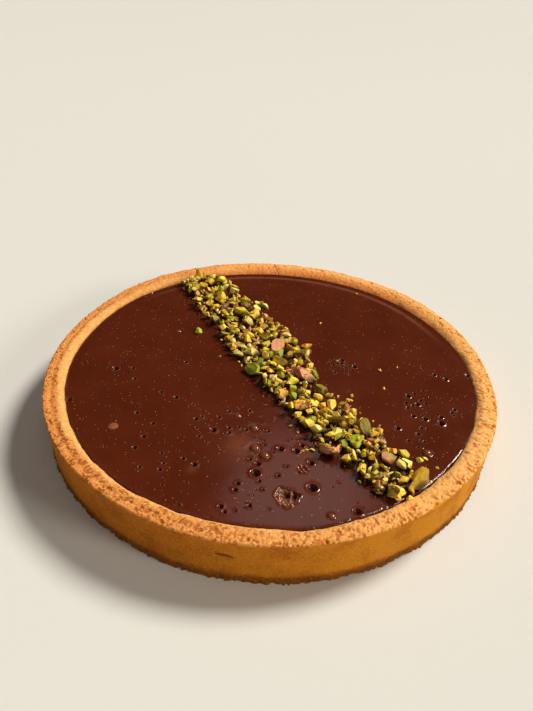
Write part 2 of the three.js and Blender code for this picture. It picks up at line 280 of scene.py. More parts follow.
def shoulderDropAt(outOfEdge, broad):
    reach = tart["rimWidth"] - tart["bandWidth"]
    turn = np.arcsin(1 - np.clip(outOfEdge / reach, 0, 1))
    plain = tart["shoulderDrop"] * (1 - np.cos(turn))
    share = np.clip(1 - outOfEdge / broadShoulder["reach"], 0, 1)
    return plain + (broadShoulder["drop"] * share ** broadShoulder["curve"] - plain) * broad


def broadAt(angle):
    return smooth(np.cos(angle - math.radians(broadShoulder["toward"])), 0.5, 0.86)


def shellTopAt(x, y):
    angle = np.arctan2(y, x)
    radius = np.hypot(x, y)
    plain = radius - pushAt(angle, np.clip((radius - innerRadius) / tart["rimWidth"], 0, 1))
    top = tart["rimHeight"] - shoulderDropAt(plain - innerRadius, broadAt(angle))
    return np.where(plain < innerRadius - 0.5, -1, top)


crustLook = {
    "stepsRound": 1680,
    "rimWave": 0.3,
    "rimChip": 0.18,
    "footSpread": 0.6,
    "footCrumb": 0.32,
    "holes": {"count": 22, "smallest": 0.6, "range": 0.5, "stretch": 1.7, "depth": 0.8},
    "crease": {"at": 262, "height": 17, "length": 10.5, "opening": 4.2, "depth": 1.1, "slope": -0.06},
    "scratch": {"from": (0, 125.5), "to": (4.6, 111.5), "width": 0.75, "depth": 0.6},
    "poreDepth": 0.5,
    "troughDepth": 0.25,
    "grainDepth": 0.32,
    "mottleDepth": 0.25,
    "edgeCrumble": 0.3,
    "innerLean": 0.35,
    "innerWave": 0.32,
    # The left side is baked a little darker than the right, so most tones come as left and right
    "shoulderTones": (tone(228, 166, 94), tone(255, 192, 114)),
    "bandTones": (tone(224, 142, 70), tone(255, 188, 108)),
    "wallTones": (tone(168, 95, 5), tone(220, 144, 26)),
    "wallBrowns": (tone(146, 74, 3), tone(190, 110, 10)),
    "poreTones": (tone(156, 80, 30), tone(222, 118, 46)),
    "backWallTone": tone(222, 156, 84),
    "ridgeTone": tone(255, 202, 132),
    # Painted warm shade of the back shoulder; the same tone also lines the outer edge at the back
    "warmTone": tone(246, 126, 40),
    # Painted shade down the back shoulder and along its seam with the filling
    "shoulderShadeTone": tone(140, 66, 16),
    "footTone": tone(98, 49, 10),
    "crumbTone": tone(224, 156, 72),
    # Real dark specks and crumbs, and the painted shade in the crease
    "speckAndCreaseShadeTone": tone(104, 52, 12),
}


# The shell's section as radius and height, from the outer foot over the rim to the floor inside
def crustProfile():
    top, outer, drop = tart["rimHeight"], tart["outerRadius"], tart["shoulderDrop"]
    base, floor, fillet = tart["baseRadius"] + crustLook["footSpread"], tart["floor"], tart["fillet"]
    reach, bevel = tart["rimWidth"] - tart["bandWidth"], tart["edgeBevel"]
    # Each corner has the number of steps to the next one
    corners = [(base - 0.2, 0, 2), (base, 1, 8), (base, floor, 4), (outer - 0.5, 14.6, 6),
               (outer - 0.4, 19.4, 2), (outer - bevel / 2, top - drop, 5), (outer, top - bevel, 2),
               (outer - bevel, top, 16), (innerRadius + reach, top, 0)]
    profile = []
    for (radius, height, steps), (toRadius, toHeight, _) in zip(corners, corners[1:]):
        part = np.arange(steps) / steps
        profile += zip(radius + (toRadius - radius) * part, height + (toHeight - height) * part)
    for turn in np.arange(11) / 10 * math.pi / 2:
        profile.append((innerRadius + reach * (1 - math.sin(turn)), top - drop * (1 - math.cos(turn))))
    profile += [(innerWallAt(height), height) for height in (18, floor + fillet)]
    return np.array(profile + [(innerWallAt(floor) - fillet, floor)])


# How deep the torn holes in the band are
def holesAt(angle, radius, height):
    look = crustLook["holes"]
    random = makeRandom(27)
    depth = np.zeros_like(radius)
    for i in range(look["count"]):
        at = fullTurn * (i + 0.8 * random()) / look["count"]
        out = tart["outerRadius"] + dentsAt(outerDents, at) - 1.6 - (tart["bandWidth"] - 2.4) * random()
        size = look["smallest"] + look["range"] * random()
        turn = random()
        x, y = radius * np.cos(angle - at) - out, radius * np.sin(angle - at)
        far = np.hypot((x * math.cos(turn) + y * math.sin(turn)) / (size * look["stretch"]),
                       (y * math.cos(turn) - x * math.sin(turn)) / size)
        depth = np.maximum(depth, look["depth"] * bowl(far))
    return depth * (height > 25)


# The crease low on the front wall: how deep it is, and its painted shade, lighter only toward its lower edge
def creaseAt(angle, radius, height):
    look = crustLook["crease"]
    along = np.radians(degreesFrom(angle, look["at"])) * tart["outerRadius"]
    above = (height - look["height"] - look["slope"] * along) / (look["opening"] / 2)
    onWall = (radius > tart["baseRadius"] - 3) & (height < 25)
    opened = bowl(np.hypot(along / (look["length"] / 2), above)) * onWall
    return look["depth"] * opened, opened * (0.2 + 0.8 * smooth(above, -0.7, -0.05))


# A scratch across the back of the rim, its left side raised: how deep it is, and the painted shade of its
# groove
def scratchAt(x, y, height):
    look = crustLook["scratch"]
    wayX, wayY = np.subtract(look["to"], look["from"])
    x, y = x - look["from"][0], y - look["from"][1]
    length = math.hypot(wayX, wayY)
    along = (x * wayX + y * wayY) / length**2
    off = (x * wayY - y * wayX) / length / look["width"]
    here = smooth(along, 0, 0.15) * smooth(1 - along, 0, 0.1) * (height > 20)
    groove = here * bell(off, -0.7, 0.7)
    return look["depth"] * (groove - 0.6 * here * bell(off, 0.6, 0.6)), groove


def ringPoints(angle, radius, height):
    return np.stack([radius * np.cos(angle), radius * np.sin(angle), height], -1)


# Triangles between rings of points, closed at both ends by one point each
def ringFaces(rows, steps):
    here = np.arange(steps)
    there = (here + 1) % steps
    faces = []
    for start in range(0, (rows - 1) * steps, steps):
        a, b = start + here, start + there
        faces += [(a, b, b + steps), (a, b + steps, a + steps)]
    end = rows * steps
    faces += [(there, here, 0 * here + end), (end - steps + here, end - steps + there, 0 * here + end + 1)]
    return np.concatenate([np.stack(face, -1) for face in faces])


# The band is filed flat and full of pores, those toward the right drawn out into slits
def poresAt(place, angle, plainRadius, height):
    degrees = np.degrees(angle)
    ragged = 1.3 * ringNoise(150, 42, angle) + 0.9 * ringNoise(60, 43, angle)
    inward = 2.8 * bell(degrees, 252, 42) + 3.4 * smooth(np.cos(angle + 0.66), 0.6, 0.95)
    band = smooth(plainRadius - ragged + inward, innerRadius + 3.4, innerRadius + 4.8)
    band = band * smooth(height, 25.6, 26.8)
    toRight = smooth(np.cos(angle + 0.72), 0.1, 0.8)
    openness = (0.5 + 0.75 * bell(degrees, 248, 54) + 0.1 * ringNoise(22, 41, angle)) * (1 - 0.15 * toRight)
    grain = 0.45 * lumps(place, 1.3, 3) + 0.6 * lumps(place, 0.8, 4) + 0.2 * lumps(place, 4.5, 5)
    pits = smooth(grain, 0.3 - 0.35 * openness, 0.85 - 0.3 * openness)
    radial = np.stack([plainRadius * 0.55, angle * tart["outerRadius"], height], -1)
    slits = smooth(0.75 * lumps(radial, 0.95, 15) + 0.35 * lumps(place, 3, 16), 0.2, 0.56)
    return band, band * np.maximum(pits, toRight * slits)


# The plain shape: each point's angle, radius before and after dents, and height
def crustShape():
    look = crustLook
    profile, steps = crustProfile(), look["stepsRound"]
    angle = np.repeat(np.arange(steps)[None, :] / steps * fullTurn, len(profile), 0)
    plainRadius, height = (np.repeat(part[:, None], steps, 1) for part in profile.T)
    outOfEdge = plainRadius - innerRadius
    outward = np.clip(outOfEdge / tart["rimWidth"], 0, 1)
    slumped = (height > 24.2) * (outOfEdge > 0.02) * (outward < 0.93)
    height = height - slumped * (shoulderDropAt(outOfEdge, broadAt(angle)) - shoulderDropAt(outOfEdge, 0))
    lean = look["innerLean"] + look["innerWave"] * ringNoise(95, 44, angle) + 0.16 * ringNoise(290, 45, angle)
    lean = lean * (height > 20) * smooth(1 - outOfEdge / 3, 0, 1)
    foot = (outward > 0.5) & (height > 0) & (height < tart["floor"])
    push = pushAt(angle, outward) * smooth(plainRadius, innerRadius / 2, innerRadius - tart["fillet"])
    radius = plainRadius + push + foot * look["footCrumb"] * ringNoise(128, 13, angle) - lean
    return angle, plainRadius, radius, height


# How far the rough surface lies above the plain shape, and how far out of it
def crustRelief(place, angle, plainRadius, height, edge):
    look = crustLook
    outward = np.clip((plainRadius - innerRadius) / tart["rimWidth"], 0, 1)
    crumble = lumps(place, 1.1, 6) + 0.7 * lumps(place, 2.4, 7) + 0.4 * lumps(place, 0.6, 8)
    bumpy = 0.2 * lumps(place, 7, 9) + 0.12 * lumps(place, 2.6, 10) + 0.15 * lumps(place, 1.3, 17)
    bumpy = bumpy * smooth(plainRadius, innerRadius - 0.3, innerRadius + 1)
    wavy = look["rimWave"] * ringNoise(36, 11, angle) + look["rimChip"] * ringNoise(128, 12, angle)
    rise = np.ceil(outward) * smooth(height, 24.4, 25.8) * (wavy + bumpy) + edge * 0.16 * crumble
    footRough = (1 - smooth(height, 3, 7)) * (0.34 * lumps(place, 1.2, 11) + 0.24 * lumps(place, 3, 12))
    wallWave = smooth(height, 0, 2) * (1 - smooth(height, 24, 27)) * 0.1 * lumps(place, 9, 13)
    crumbs = smooth(1.6 - height, 0, 1.4) * np.maximum(0, 0.9 * lumps(place, 1.1, 14) + 0.25) * 0.9
    return rise, edge * look["edgeCrumble"] * crumble + (outward > 0.8) * (footRough + wallWave + crumbs)


def buildCrust():
    angle, plainRadius, radius, height = crustShape()
    place = ringPoints(angle, radius, height)
    band, pores = poresAt(place, angle, plainRadius, height)
    holes = holesAt(angle, radius, height)
    crease, creaseShade = creaseAt(angle, radius, height)
    scratch, scratchShade = scratchAt(place[..., 0], place[..., 1], height)
    edge = bell(plainRadius, tart["outerRadius"] - 0.5, 0.9) * smooth(height, 26, 27.3)
    trough = smooth(-np.cos(angle - 0.35), 0.3, 0.9) * bell(plainRadius, 125.2, 1.1) * smooth(height, 26, 27)
    rise, out = crustRelief(place, angle, plainRadius, height, edge)
    rise = rise - crustLook["poreDepth"] * pores - holes - scratch - crustLook["troughDepth"] * trough
    furthest = tart["outerRadius"] + np.maximum(dentsAt(outerDents, angle), 0) + 0.45
    radius = np.minimum(radius + out - crease, furthest)
    height = np.maximum(height + rise, 0)

    rows, steps = height.shape
    points = [*ringPoints(angle, radius, height).reshape(-1, 3), (0, 0, 0), (0, 0, tart["floor"])]
    outOfEdge = plainRadius - innerRadius
    toBack = bell(degreesFrom(angle, 68), 0, 52) * (height > 20)
    inner = np.clip(outOfEdge / broadShoulder["reach"], 0, 1)
    marks = {
        # the pore mark darkens the colour in the pores, torn holes, trough and scratch: painted shade in
        # these recesses
        "pore": np.clip(pores + holes + 0.4 * trough + scratchShade, 0, 1),
        "band": band,
        "edge": edge,
        "side": (outOfEdge > 0.8 * tart["rimWidth"]) * (1 - smooth(height, 26.5, 27.5)),
        "heightUp": height / tart["rimHeight"],
        # painted shade of the crease in the wall
        "crease": creaseShade,
        # painted warm shade: the lower back shoulder turned deep orange, as warm bounce light in its shade
        "paintedWarmShade": toBack * (1 - inner**1.05),
        # painted shade: darker down the back shoulder, and a thin dark band all round where the shoulder
        # meets the filling
        "paintedShoulderShade": np.maximum(toBack * (1 - inner) ** 2.2, 0.6 * bell(outOfEdge, 0, 0.6) * (height > 20)),
    }
    marks = {name: np.append(mark, [0, 0]) for name, mark in marks.items()}
    return np.array(points), ringFaces(rows, steps), marks


def crustFinish():
    look = crustLook
    f = Finish("bakedShortcrust", {"Roughness": 0.85, "Specular IOR Level": 0.12})
    pore, edge, side = f.mark("pore"), f.mark("edge"), f.mark("side")
    across = f.node("ShaderNodeSeparateXYZ", {}, {0: f.place}, "X")
    behind = f.maths("MAXIMUM", f.node("ShaderNodeSeparateXYZ", {}, {0: f.place}, "Y"), 0)
    toRight = f.spread(across + behind * 0.5, -0.07, 0.13)
    mottle = f.noise(2.2, 4, 0.6)
    grain = f.noise(0.7, 3, 0.65)
    fine = f.noise(0.3, 2)
    poreTone = f.blend(*look["poreTones"], toRight)
    smoothTop = f.layers(
        f.blend(*look["shoulderTones"], toRight),
        (look["ridgeTone"], f.spread(mottle + (grain - 0.5) * 0.5, 0.48, 0.66) * 0.6),
        (poreTone, f.spread(grain + mottle * 0.3, 0.6, 0.48) * (0.42 - toRight * 0.16)),
        # painted shade in the pores, holes, trough and scratch groove
        (poreTone, f.spread(pore, 0.2, 0.8) * 0.6),
    )
    bandTop = f.layers(
        f.blend(*look["bandTones"], toRight),
        (look["ridgeTone"], f.spread(grain - edge * 0.05, 0.52, 0.66) * 0.8),
        (poreTone, f.spread(grain + fine * 0.5, 0.7, 0.56) * (0.5 - toRight * 0.42)),
        # painted shade in the pores, holes, trough and scratch groove
        (poreTone, f.spread(pore, 0.1, 0.8) * (0.75 - toRight * 0.15)),
    )
    top = f.layers(
        f.blend(smoothTop, bandTop, f.mark("band")),
        # painted warm shade on the back shoulder, uneven with the mottle
        (look["warmTone"], f.mark("paintedWarmShade") * (0.45 + f.spread(mottle + grain * 0.3, 0.72, 0.56) * 0.75)),
        (look["warmTone"], edge * f.spread(behind, 0.03, 0.1) * 0.55),
        # painted shade on the back shoulder and along the seam with the filling
        (look["shoulderShadeTone"], f.mark("paintedShoulderShade") * 0.6),
    )
    nearFoot = f.spread(f.mark("heightUp") + (mottle - 0.5) * 0.2, 0.26, 0.09)
    cloudy = f.spread(f.noise(14, 3) + (mottle - 0.5) * 0.4, 0.42, 0.75)
    wall = f.layers(
        f.blend(f.blend(*look["wallTones"], toRight), f.blend(*look["wallBrowns"], toRight), cloudy),
        (look["backWallTone"], f.spread(behind, 0.0, 0.06) * 0.65),
        (look["speckAndCreaseShadeTone"], f.spread(f.cells(1.9), 0.17, 0.09) * 0.65),
        (look["speckAndCreaseShadeTone"], f.spread(grain + fine * 0.4, 0.78, 0.92) * 0.4),
        (look["crumbTone"], f.spread(grain, 0.52, 0.38) * 0.3),
        (look["footTone"], nearFoot * 0.8),
        (look["speckAndCreaseShadeTone"], f.spread(grain, 0.52, 0.7) * nearFoot * 0.75),
        (look["crumbTone"], f.spread(grain, 0.42, 0.3) * nearFoot * 0.5),
        # painted shade in the crease
        (look["speckAndCreaseShadeTone"], f.spread(f.mark("crease"), 0.25, 0.8) * 0.85),
    )
    rough = f.bump((grain + fine * 0.4) * (1 - side * 0.5), look["grainDepth"])
    rough = f.bump(mottle * (1 - side * 0.6), look["mottleDepth"], rough)
    return f.finish(color=f.blend(top, wall, side), normal=rough)


points, triangles, marks = buildCrust()
addPiece("shell", points, triangles, crustFinish(), ["crust"], marks)


# Where the row of nuts lies
row = {
    "turn": math.radians(-60.6),
    "reach": 117,
    # How far the row reaches to its two sides: along, left, right
    "edges": [(-117, -11, 9), (-108, -13, 15), (-98, -13, 19), (-78, -14, 20), (-61, -14, 27), (-48, -15, 23),
              (-27, -16, 26), (0, -15, 26), (14, -13, 21), (26, -12, 16), (44, -12, 14.5), (61, -9, 20),
              (76, -12, 23), (88, -8, 18), (100, -6, 22), (111, -3, 23), (117, 0, 19)],
    "loose": 80,
    "longest": 10,
    "halving": 60,
    "fade": 0.7,
    "spread": 0.9,
    "tries": 9,
    "lift": 2.6,
    "rest": 0.36,
    "sunk": 0.3,
    "bedPieces": 260,
    "fillPieces": 215,
    "crumbs": 500,
    # Lengths in the bed, in the gaps and of the crumbs, and how much they vary
    "bedLength": 4.4,
    "bedRange": 3.8,
    "fillLength": 7,
    "fillRange": 3.6,
    "fillHighest": 33.2,
    "crumbLength": 0.9,
    "crumbRange": 2.3,
    "spillFrom": 0.7,
    "finerFrom": 8.5,
    "sharpFrom": 31,
    # Chance of a spot along the row, under 1 for more pieces toward the front
    "lean": 0.7,
    "rounding": 0.09,
    "folds": {"kernel": 0.17, "block": 0.07, "shard": 0.1, "crumb": 0.06},
    "highest": 34.6,
    "shade": 3.7,
}


# The row's middle and half its width at a place along it
def rowSpanAt(along):
    edges = row["edges"]
    after = max(1, next((i for i, edge in enumerate(edges) if edge[0] > along), 1))
    start, end = np.array(edges[after - 1]), np.array(edges[after])
    left, right = (start + (end - start) * smooth(along, start[0], end[0]))[1:]
    return (left + right) / 2, (right - left) / 2


# How far places lie outside the row, less than 0 inside it
def besideRow(flatPlace):
    inRow = flatPlace @ turnBy(row["turn"], "Z")
    steps = np.arange(-125, 126)
    middle, half = np.array([rowSpanAt(step) for step in steps]).T
    return np.abs(inRow[:, 1] - np.interp(inRow[:, 0], steps, middle)) - np.interp(inRow[:, 0], steps, half)


fillingLook = {
    "domes": [(-81, -58, 5.4, 0.5), (-60, 33, 3.4, 0.6), (-8, -55, 4.2, 0.9), (-7, -70, 5, 1.1),
              (-2, -75, 5, 1.3), (-17, -46, 3.4, 0.6), (80, -69, 5.2, 1.4), (29, -111, 3.6, 0.8)],
    "pits": [(-6, -87, 4.8), (21, -95, 5), (21, -79, 3.4), (6, -70, 3.6), (14, -71, 3.6),
             (-5, -81, 3), (-29, -58, 3.4), (-91, -9, 4), (-36, -83, 3), (41, -108, 4), (-21, -108, 2.8),
             (103, -7, 3), (78, -24, 3), (82, -31, 3), (84, -43, 3), (92, -46, 3.8), (68, -51, 3),
             (-110, -37.5, 3.4), (-64, -65, 2.6), (-67, -73, 2.6), (-52, -33, 2.8), (-51, 0, 2.6),
             (43, 8, 3), (50, 2, 3)],
    # A shallow hollow full of little bubbles: x, y, width, depth
    "froth": {"at": (17, -83), "width": 5.6, "depth": 0.7, "bubbles": 7, "size": 1.0},
    "smallPits": [(-19, -111, 2.2), (97, -3, 2.4), (117, -2, 2.6), (76, -34, 2.2), (93, -41, 2.5),
                  (78, -41, 2.6), (78, -55, 2.1), (-71, -47, 2.4), (-61, -55, 2.3), (-62, -86, 1.8),
                  (-52, -87, 2.3), (-51, -83, 1.8), (-42, -79, 2.2), (-61, -29, 2.3), (-81, -8, 2.4),
                  (-78, -18, 2.3), (17, -67, 2.8), (-40, -108, 1.6), (-84, 81, 3.4), (-42, -38, 1.6),
                  (-39, -50, 2.5), (-36, -48, 1.6), (-27, -48, 2.2), (-33, -54, 1.4), (-38, -57, 1.8),
                  (-21, -56, 2), (-22, -43, 2), (-11, -42, 2.1), (-16, -55, 1.8), (-12, -57, 2),
                  (-36, -63, 1.9), (-32, -67, 1.4), (-53, -76, 1.6), (-14, -94, 2.5), (-15, -98, 2.5),
                  (-14, -110, 1.4),
                  (-8, -107, 2.2), (-25, -114, 1.3), (-4, -92, 1.9), (-2, -97, 1.3), (-9, -78, 2),
                  (5, -88, 2), (9, -82, 1.5)],
    # Faint pale places: x, y, size, strength
    "blushes": [(-15, -68, 7.5, 0.34), (-37, -86, 2.6, 0.3)],
    "pitDepth": 0.4,
    "lip": 0.12,
    "crater": {"at": (9, -101), "half": (5.4, 5.3, 2.4), "keepOff": 8.5, "meshed": 9.2, "rings": 42},
    # Where small bubbles crowd: x, y, half width, half depth, number, smallest and largest width
    "patches": [(2, -60, 26, 16, 26, 0.9, 2.3), (-60, -62, 28, 26, 12, 0.7, 1.6),
                (-60, -12, 34, 26, 22, 0.8, 1.8), (43, 2, 9, 9, 36, 1.0, 2.4),
                (88, -34, 14, 26, 34, 0.8, 2.2), (76, -62, 5, 5, 9, 1.2, 2.4),
                (18, -84, 3.4, 3, 6, 1.6, 2.4), (30, -60, 14, 14, 20, 0.8, 2.2),
                (-20, -100, 36, 10, 8, 0.8, 1.6), (-40, 40, 30, 26, 12, 0.8, 1.6)],
    "pinholes": 460,
    "stepsRound": 1080,
    "gridStep": 2.0,
    # Rings of points round bubbles over a radius: points in a ring, and where the rings lie
    "rings": [(1.1, 30, (0.25, 0.5, 0.7, 0.84, 0.93, 1.0, 1.07, 1.14, 1.22, 1.34, 1.6)),
              (0.6, 18, (0.35, 0.65, 0.86, 1.0, 1.12, 1.28, 1.55)),
              (0, 11, (0.5, 0.85, 1.05, 1.25, 1.55))],
    # How far rings of points lie inside the edge
    "edgeRings": (0, 0.22, 0.46, 0.74, 1.08, 1.5, 2.1, 3.0, 4.0, 5.1, 6.3, 7.5, 8.7, 9.9),
    "roughness": 0.13,
    "fineDepth": 0.004,
    "mottleDepth": 0.012,
    "seamDepth": 0.25,
    "sharpFrom": 75,
    "edgeDrop": 0.42,
    "edgeWidth": 1.1,
    "backDip": 0.5,
    "dipWidth": 6.5,
    # Toward the back a pale line runs along inside the edge, a painted reflection, and a dark one between it
    # and the crust, a painted shadow of the rim
    "lineIn": 6.9,
    "lineWidth": 1.25,
    "rowSwell": 0.1,
    "paintedReflectionTone": tone(122, 69, 52),
    "rimShadowTone": tone(68, 25, 8),
    "tone": tone(87, 33, 14),
    "dark": tone(78, 28, 11),
    "holeShadeTone": tone(36, 13, 8),
    "lipGlowTone": tone(118, 50, 26),
    "paleAndDomeLightTone": tone(172, 104, 68),
    "dustAndGlintTone": tone(222, 154, 112),
    "tornTone": tone(138, 80, 54),
}


# Every bubble on the surface: x, y, radius, height, from the listed to the scattered ones
def layBubbles():
    look = fillingLook
    random = makeRandom(58)
    bubbles = [(x, y, width / 2, rise) for x, y, width, rise in look["domes"]]
    froth = look["froth"]
    for i in range(froth["bubbles"]):
        turn, out = fullTurn * i / (froth["bubbles"] - 1), 0.36 * froth["width"] * (i > 0)
        size = froth["size"] * (0.8 + 0.35 * random())
        x, y = froth["at"][0] + out * math.cos(turn), froth["at"][1] + out * math.sin(turn)
        bubbles.append((x, y, size, 0.8 * size))
    pits = look["pits"] + look["smallPits"]
    bubbles += [(x, y, width / 2, -width * look["pitDepth"]) for x, y, width in pits]
    crater = look["crater"]

    def isFree(x, y, radius, spare):
        if insideEdge(x, y) < radius + 2.4 or math.dist((x, y), crater["at"]) < crater["keepOff"] + radius:
            return False
        return all(math.hypot(x - b[0], y - b[1]) > (b[2] + radius) * spare for b in bubbles)

    for x, y, halfX, halfY, count, low, high in look["patches"]:
        for _ in range(count):
            angle, out = fullTurn * random(), random() ** 0.6
            px, py = x + halfX * out * math.cos(angle), y + halfY * out * math.sin(angle)
            radius = (low + (high - low) * random() ** 2.2) / 2
            if isFree(px, py, radius, 1.12):
                bubbles.append((px, py, radius, -radius * (0.6 + 0.3 * random())))
    for _ in range(look["pinholes"]):
        angle, out = fullTurn * random(), 117 * random() ** 0.5
        px, py = out * math.cos(angle), out * math.sin(angle)
        radius = 0.22 + 0.34 * random() ** 2
        if lumps([px, py, 0], 34, 21) + 0.9 * random() > 0.15 and isFree(px, py, radius, 1.3):
            bubbles.append((px, py, radius, radius * (0.25 if random() > 0.85 else -0.8)))
    return bubbles


# Toward the right the filling meets the shell with hardly a seam
def calmAt(angle):
    return smooth(np.cos(angle - math.radians(8)), 0.62, 0.8)


# The top before any bubbles: a little uneven, swollen beside the row and lower at its edge
def plainTop(x, y, flatPlace):
    look = fillingLook
    angle, inside = np.arctan2(y, x), insideEdge(x, y)
    drop = look["edgeDrop"] * (1 + 0.5 * lumps(flatPlace, 5, 31) + 0.35 * lumps(flatPlace, 2, 32))
    width = look["edgeWidth"] * (0.5 + bell(degreesFrom(angle, -60), 0, 28))
    width = width * (1 + 0.45 * lumps(flatPlace, 3, 33))
    top = tart["fillLevel"] + 0.05 * lumps(flatPlace, 30, 34) + 0.018 * lumps(flatPlace, 9, 35)
    top = top - drop * (1 - 0.9 * calmAt(angle)) * np.clip(1 - inside / width, 0, 1) ** 2
    toBack = smooth(np.sin(angle - math.radians(20)), -0.55, 0.35)
    top = top - look["backDip"] * toBack * smooth(look["dipWidth"] - inside, 0, look["dipWidth"])
    swell = look["rowSwell"] * smooth(inside, 0, 8) * bell(besideRow(flatPlace), 0.6, 2.2)
    return top + swell * (0.6 + 0.7 * lumps(flatPlace, 5, 46))


# Raises and sinks the top at every bubble, and tells how pale, holed and lipped each place is
def addBubbles(x, y, top, bubbles):
    look = fillingLook
    pale, hole, lips = np.zeros((3, len(x)))
    for px, py, radius, rise in bubbles:
        near = np.flatnonzero((np.abs(x - px) < 2 * radius) & (np.abs(y - py) < 2 * radius))
        far = np.hypot(x[near] - px, y[near] - py) / radius
        if rise > 0:
            top[near] += rise * bowl(far, 0.7) - 0.1 * rise * bell(far, 1.2, 0.16)
            # partly painted light: the domes are paler, as light they reflect and let through
            pale[near] = np.maximum(pale[near], smooth(bowl(far, 1), 0, 0.3) * (1 if px < -70 else 0.4))
        else:
            lip = bell(far, 1.2, 0.15)
            top[near] += rise * bowl(far, 0.75) + look["lip"] * radius * lip * smooth(radius, 0.3, 0.7)
            # painted shade: the inside of each pit is darkened
            hole[near] = np.maximum(hole[near], smooth(1 - far, 0.08, 0.55))
            lips[near] = np.maximum(lips[near], lip * smooth(radius, 0.4, 1.2))
    for px, py, size, strength in look["blushes"]:
        pale = np.maximum(pale, strength * bell(np.hypot(x - px, y - py), 0, size))
    froth = look["froth"]
    far = np.hypot(x - froth["at"][0], y - froth["at"][1]) / (froth["width"] / 2)
    lips = np.maximum(lips, smooth(1.1 - far, 0, 0.2) * 0.8)
    return top - froth["depth"] * smooth(1 - far, 0, 0.5), pale, hole, lips


# The torn crater with its two hollows, the shred between them and a ridge round it
def craterAt(x, y, flatPlace):
    halfX, halfY, deep = fillingLook["crater"]["half"]
    x, y = x - fillingLook["crater"]["at"][0], y - fillingLook["crater"]["at"][1]

    def spot(atX, atY, widthX, widthY):
        return bell(x, atX, widthX) * bell(y, atY, widthY)

    around = np.arctan2(y / halfY, x / halfX)
    ragged = 1 + 0.09 * np.sin(3 * around + 1) + 0.05 * np.sin(7 * around) + 0.16 * lumps(flatPlace, 1.4, 36)
    far = np.hypot(x / halfX, y / halfY) / ragged
    torn = smooth(1.04 - far, 0, 0.1)
    crumbly = 0.5 * lumps(flatPlace, 1.5, 37) + 0.4 * lumps(flatPlace, 0.8, 38)
    crumbly = crumbly + 0.25 * lumps(flatPlace, 0.45, 47)
    hollow, second, shred = spot(0.2, 1.7, 2.4, 1.7), spot(3.7, 0.9, 1.3, 2.1), spot(1.9, 2.2, 0.6, 1.8)
    depth = 0.5 * bowl(far, 0.4) + deep * hollow + 0.6 * deep * second - 1.3 * shred
    depth = np.minimum(depth, 2.6) * torn - crumbly * torn * (0.75 - 0.5 * hollow)
    ridge = bell(far, 1.07, 0.09) * (0.5 + 0.5 * lumps(flatPlace, 2, 39))
    rise = ridge * (0.24 + 0.3 * smooth(x / halfX - y / halfY, 0.2, 1.2)) - depth
    # painted shade in the two hollows, less on the shred between them
    dark = torn * np.clip(1.2 * hollow + second - 1.5 * shred, 0, 1) * 0.85
    return rise, dark, torn * (1 - 0.7 * np.maximum(hollow, second))


def circle(x, y, radius, turn):
    return np.stack([x + radius * np.cos(turn), y + radius * np.sin(turn)], -1)


# Places for the mesh's points: a grid, rings round every bubble and finer ones in the crater
def meshSpots(bubbles):
    look = fillingLook
    crater, step = look["crater"], look["gridStep"]
    rowStep = step * 0.866
    grid = np.array([((i + j % 2 / 2) * step - 120, j * rowStep - 120)
                     for j in range(int(240 / rowStep)) for i in range(121)])
    grid = grid[insideEdge(*grid.T) > 4.4]
    taken = [(x, y, 1.8 * radius) for x, y, radius, _ in bubbles] + [(*crater["at"], crater["meshed"] + 0.3)]
    for x, y, reach in taken:
        grid = grid[np.hypot(grid[:, 0] - x, grid[:, 1] - y) > reach]
    spots = [grid]
    for x, y, radius, _ in bubbles:
        count, shares = next(rest for least, *rest in look["rings"] if radius > least)
        turn = fullTurn * np.arange(count) / count
        ringed = np.concatenate([[(x, y)], *[circle(x, y, radius * share, turn) for share in shares]])
        for otherX, otherY, otherRadius, _ in bubbles:
            apart = math.hypot(otherX - x, otherY - y)
            if otherRadius >= radius and 0 < apart < 2 * (otherRadius + radius):
                ringed = ringed[np.hypot(ringed[:, 0] - otherX, ringed[:, 1] - otherY) > otherRadius * 1.2]
        spots.append(ringed)
    random = makeRandom(77)
    for i in range(crater["rings"]):
        out = crater["meshed"] * (i + 0.5) / crater["rings"]
        count = max(6, int(fullTurn * out / (0.26 if out < 7 else 0.5)))
        spots.append(circle(*crater["at"], out, fullTurn * (np.arange(count) + random()) / count))
    spots = np.concatenate(spots)
    return spots[insideEdge(*spots.T) > 3.6]


# Rings of points inside the filling's edge, the outermost first, fewer in the inner ones
def edgeRings(steps):
    rings = []
    for i, inside in enumerate(fillingLook["edgeRings"]):
        turn = np.arange(steps) / steps * fullTurn + 0.5 * (i % 2) * fullTurn / steps
        rings.append(circle(0, 0, fillEdgeAt(turn) - inside, turn)[::1 if i < 6 else 2 if i < 8 else 3])
    return np.concatenate(rings)


# The side goes down into the shell, so that the filling is one closed body
def closeBelow(points, faces):
    level, floor, gap = tart["fillLevel"], tart["floor"], tart["gap"]
    upper = np.flatnonzero(insideEdge(points[:, 0], points[:, 1]) < 0.02)
    upper = upper[np.argsort(np.arctan2(points[upper, 1], points[upper, 0]))]
    angle = np.arctan2(points[upper, 1], points[upper, 0])
    for radius, height in [(innerRadius - 1.6 * gap, level - 1.6), (innerWallAt(9) - 2 * gap, 9),
                           (innerWallAt(floor) - 4 - 2 * gap, floor + gap)]:
        lower = len(points) + np.arange(len(upper))
        spots = circle(0, 0, radius + dentsAt(innerDents, angle), angle)
        points = np.concatenate([points, np.column_stack([spots, np.full(len(upper), height)])])
        faces = np.concatenate([faces, np.stack([upper, lower, np.roll(lower, -1)], -1),
                                np.stack([upper, np.roll(lower, -1), np.roll(upper, -1)], -1)])
        upper = lower
    bottom = np.stack([upper, np.full(len(upper), len(points)), np.roll(upper, -1)], -1)
    return np.concatenate([points, [(0, 0, floor + gap)]]), np.concatenate([faces, bottom])


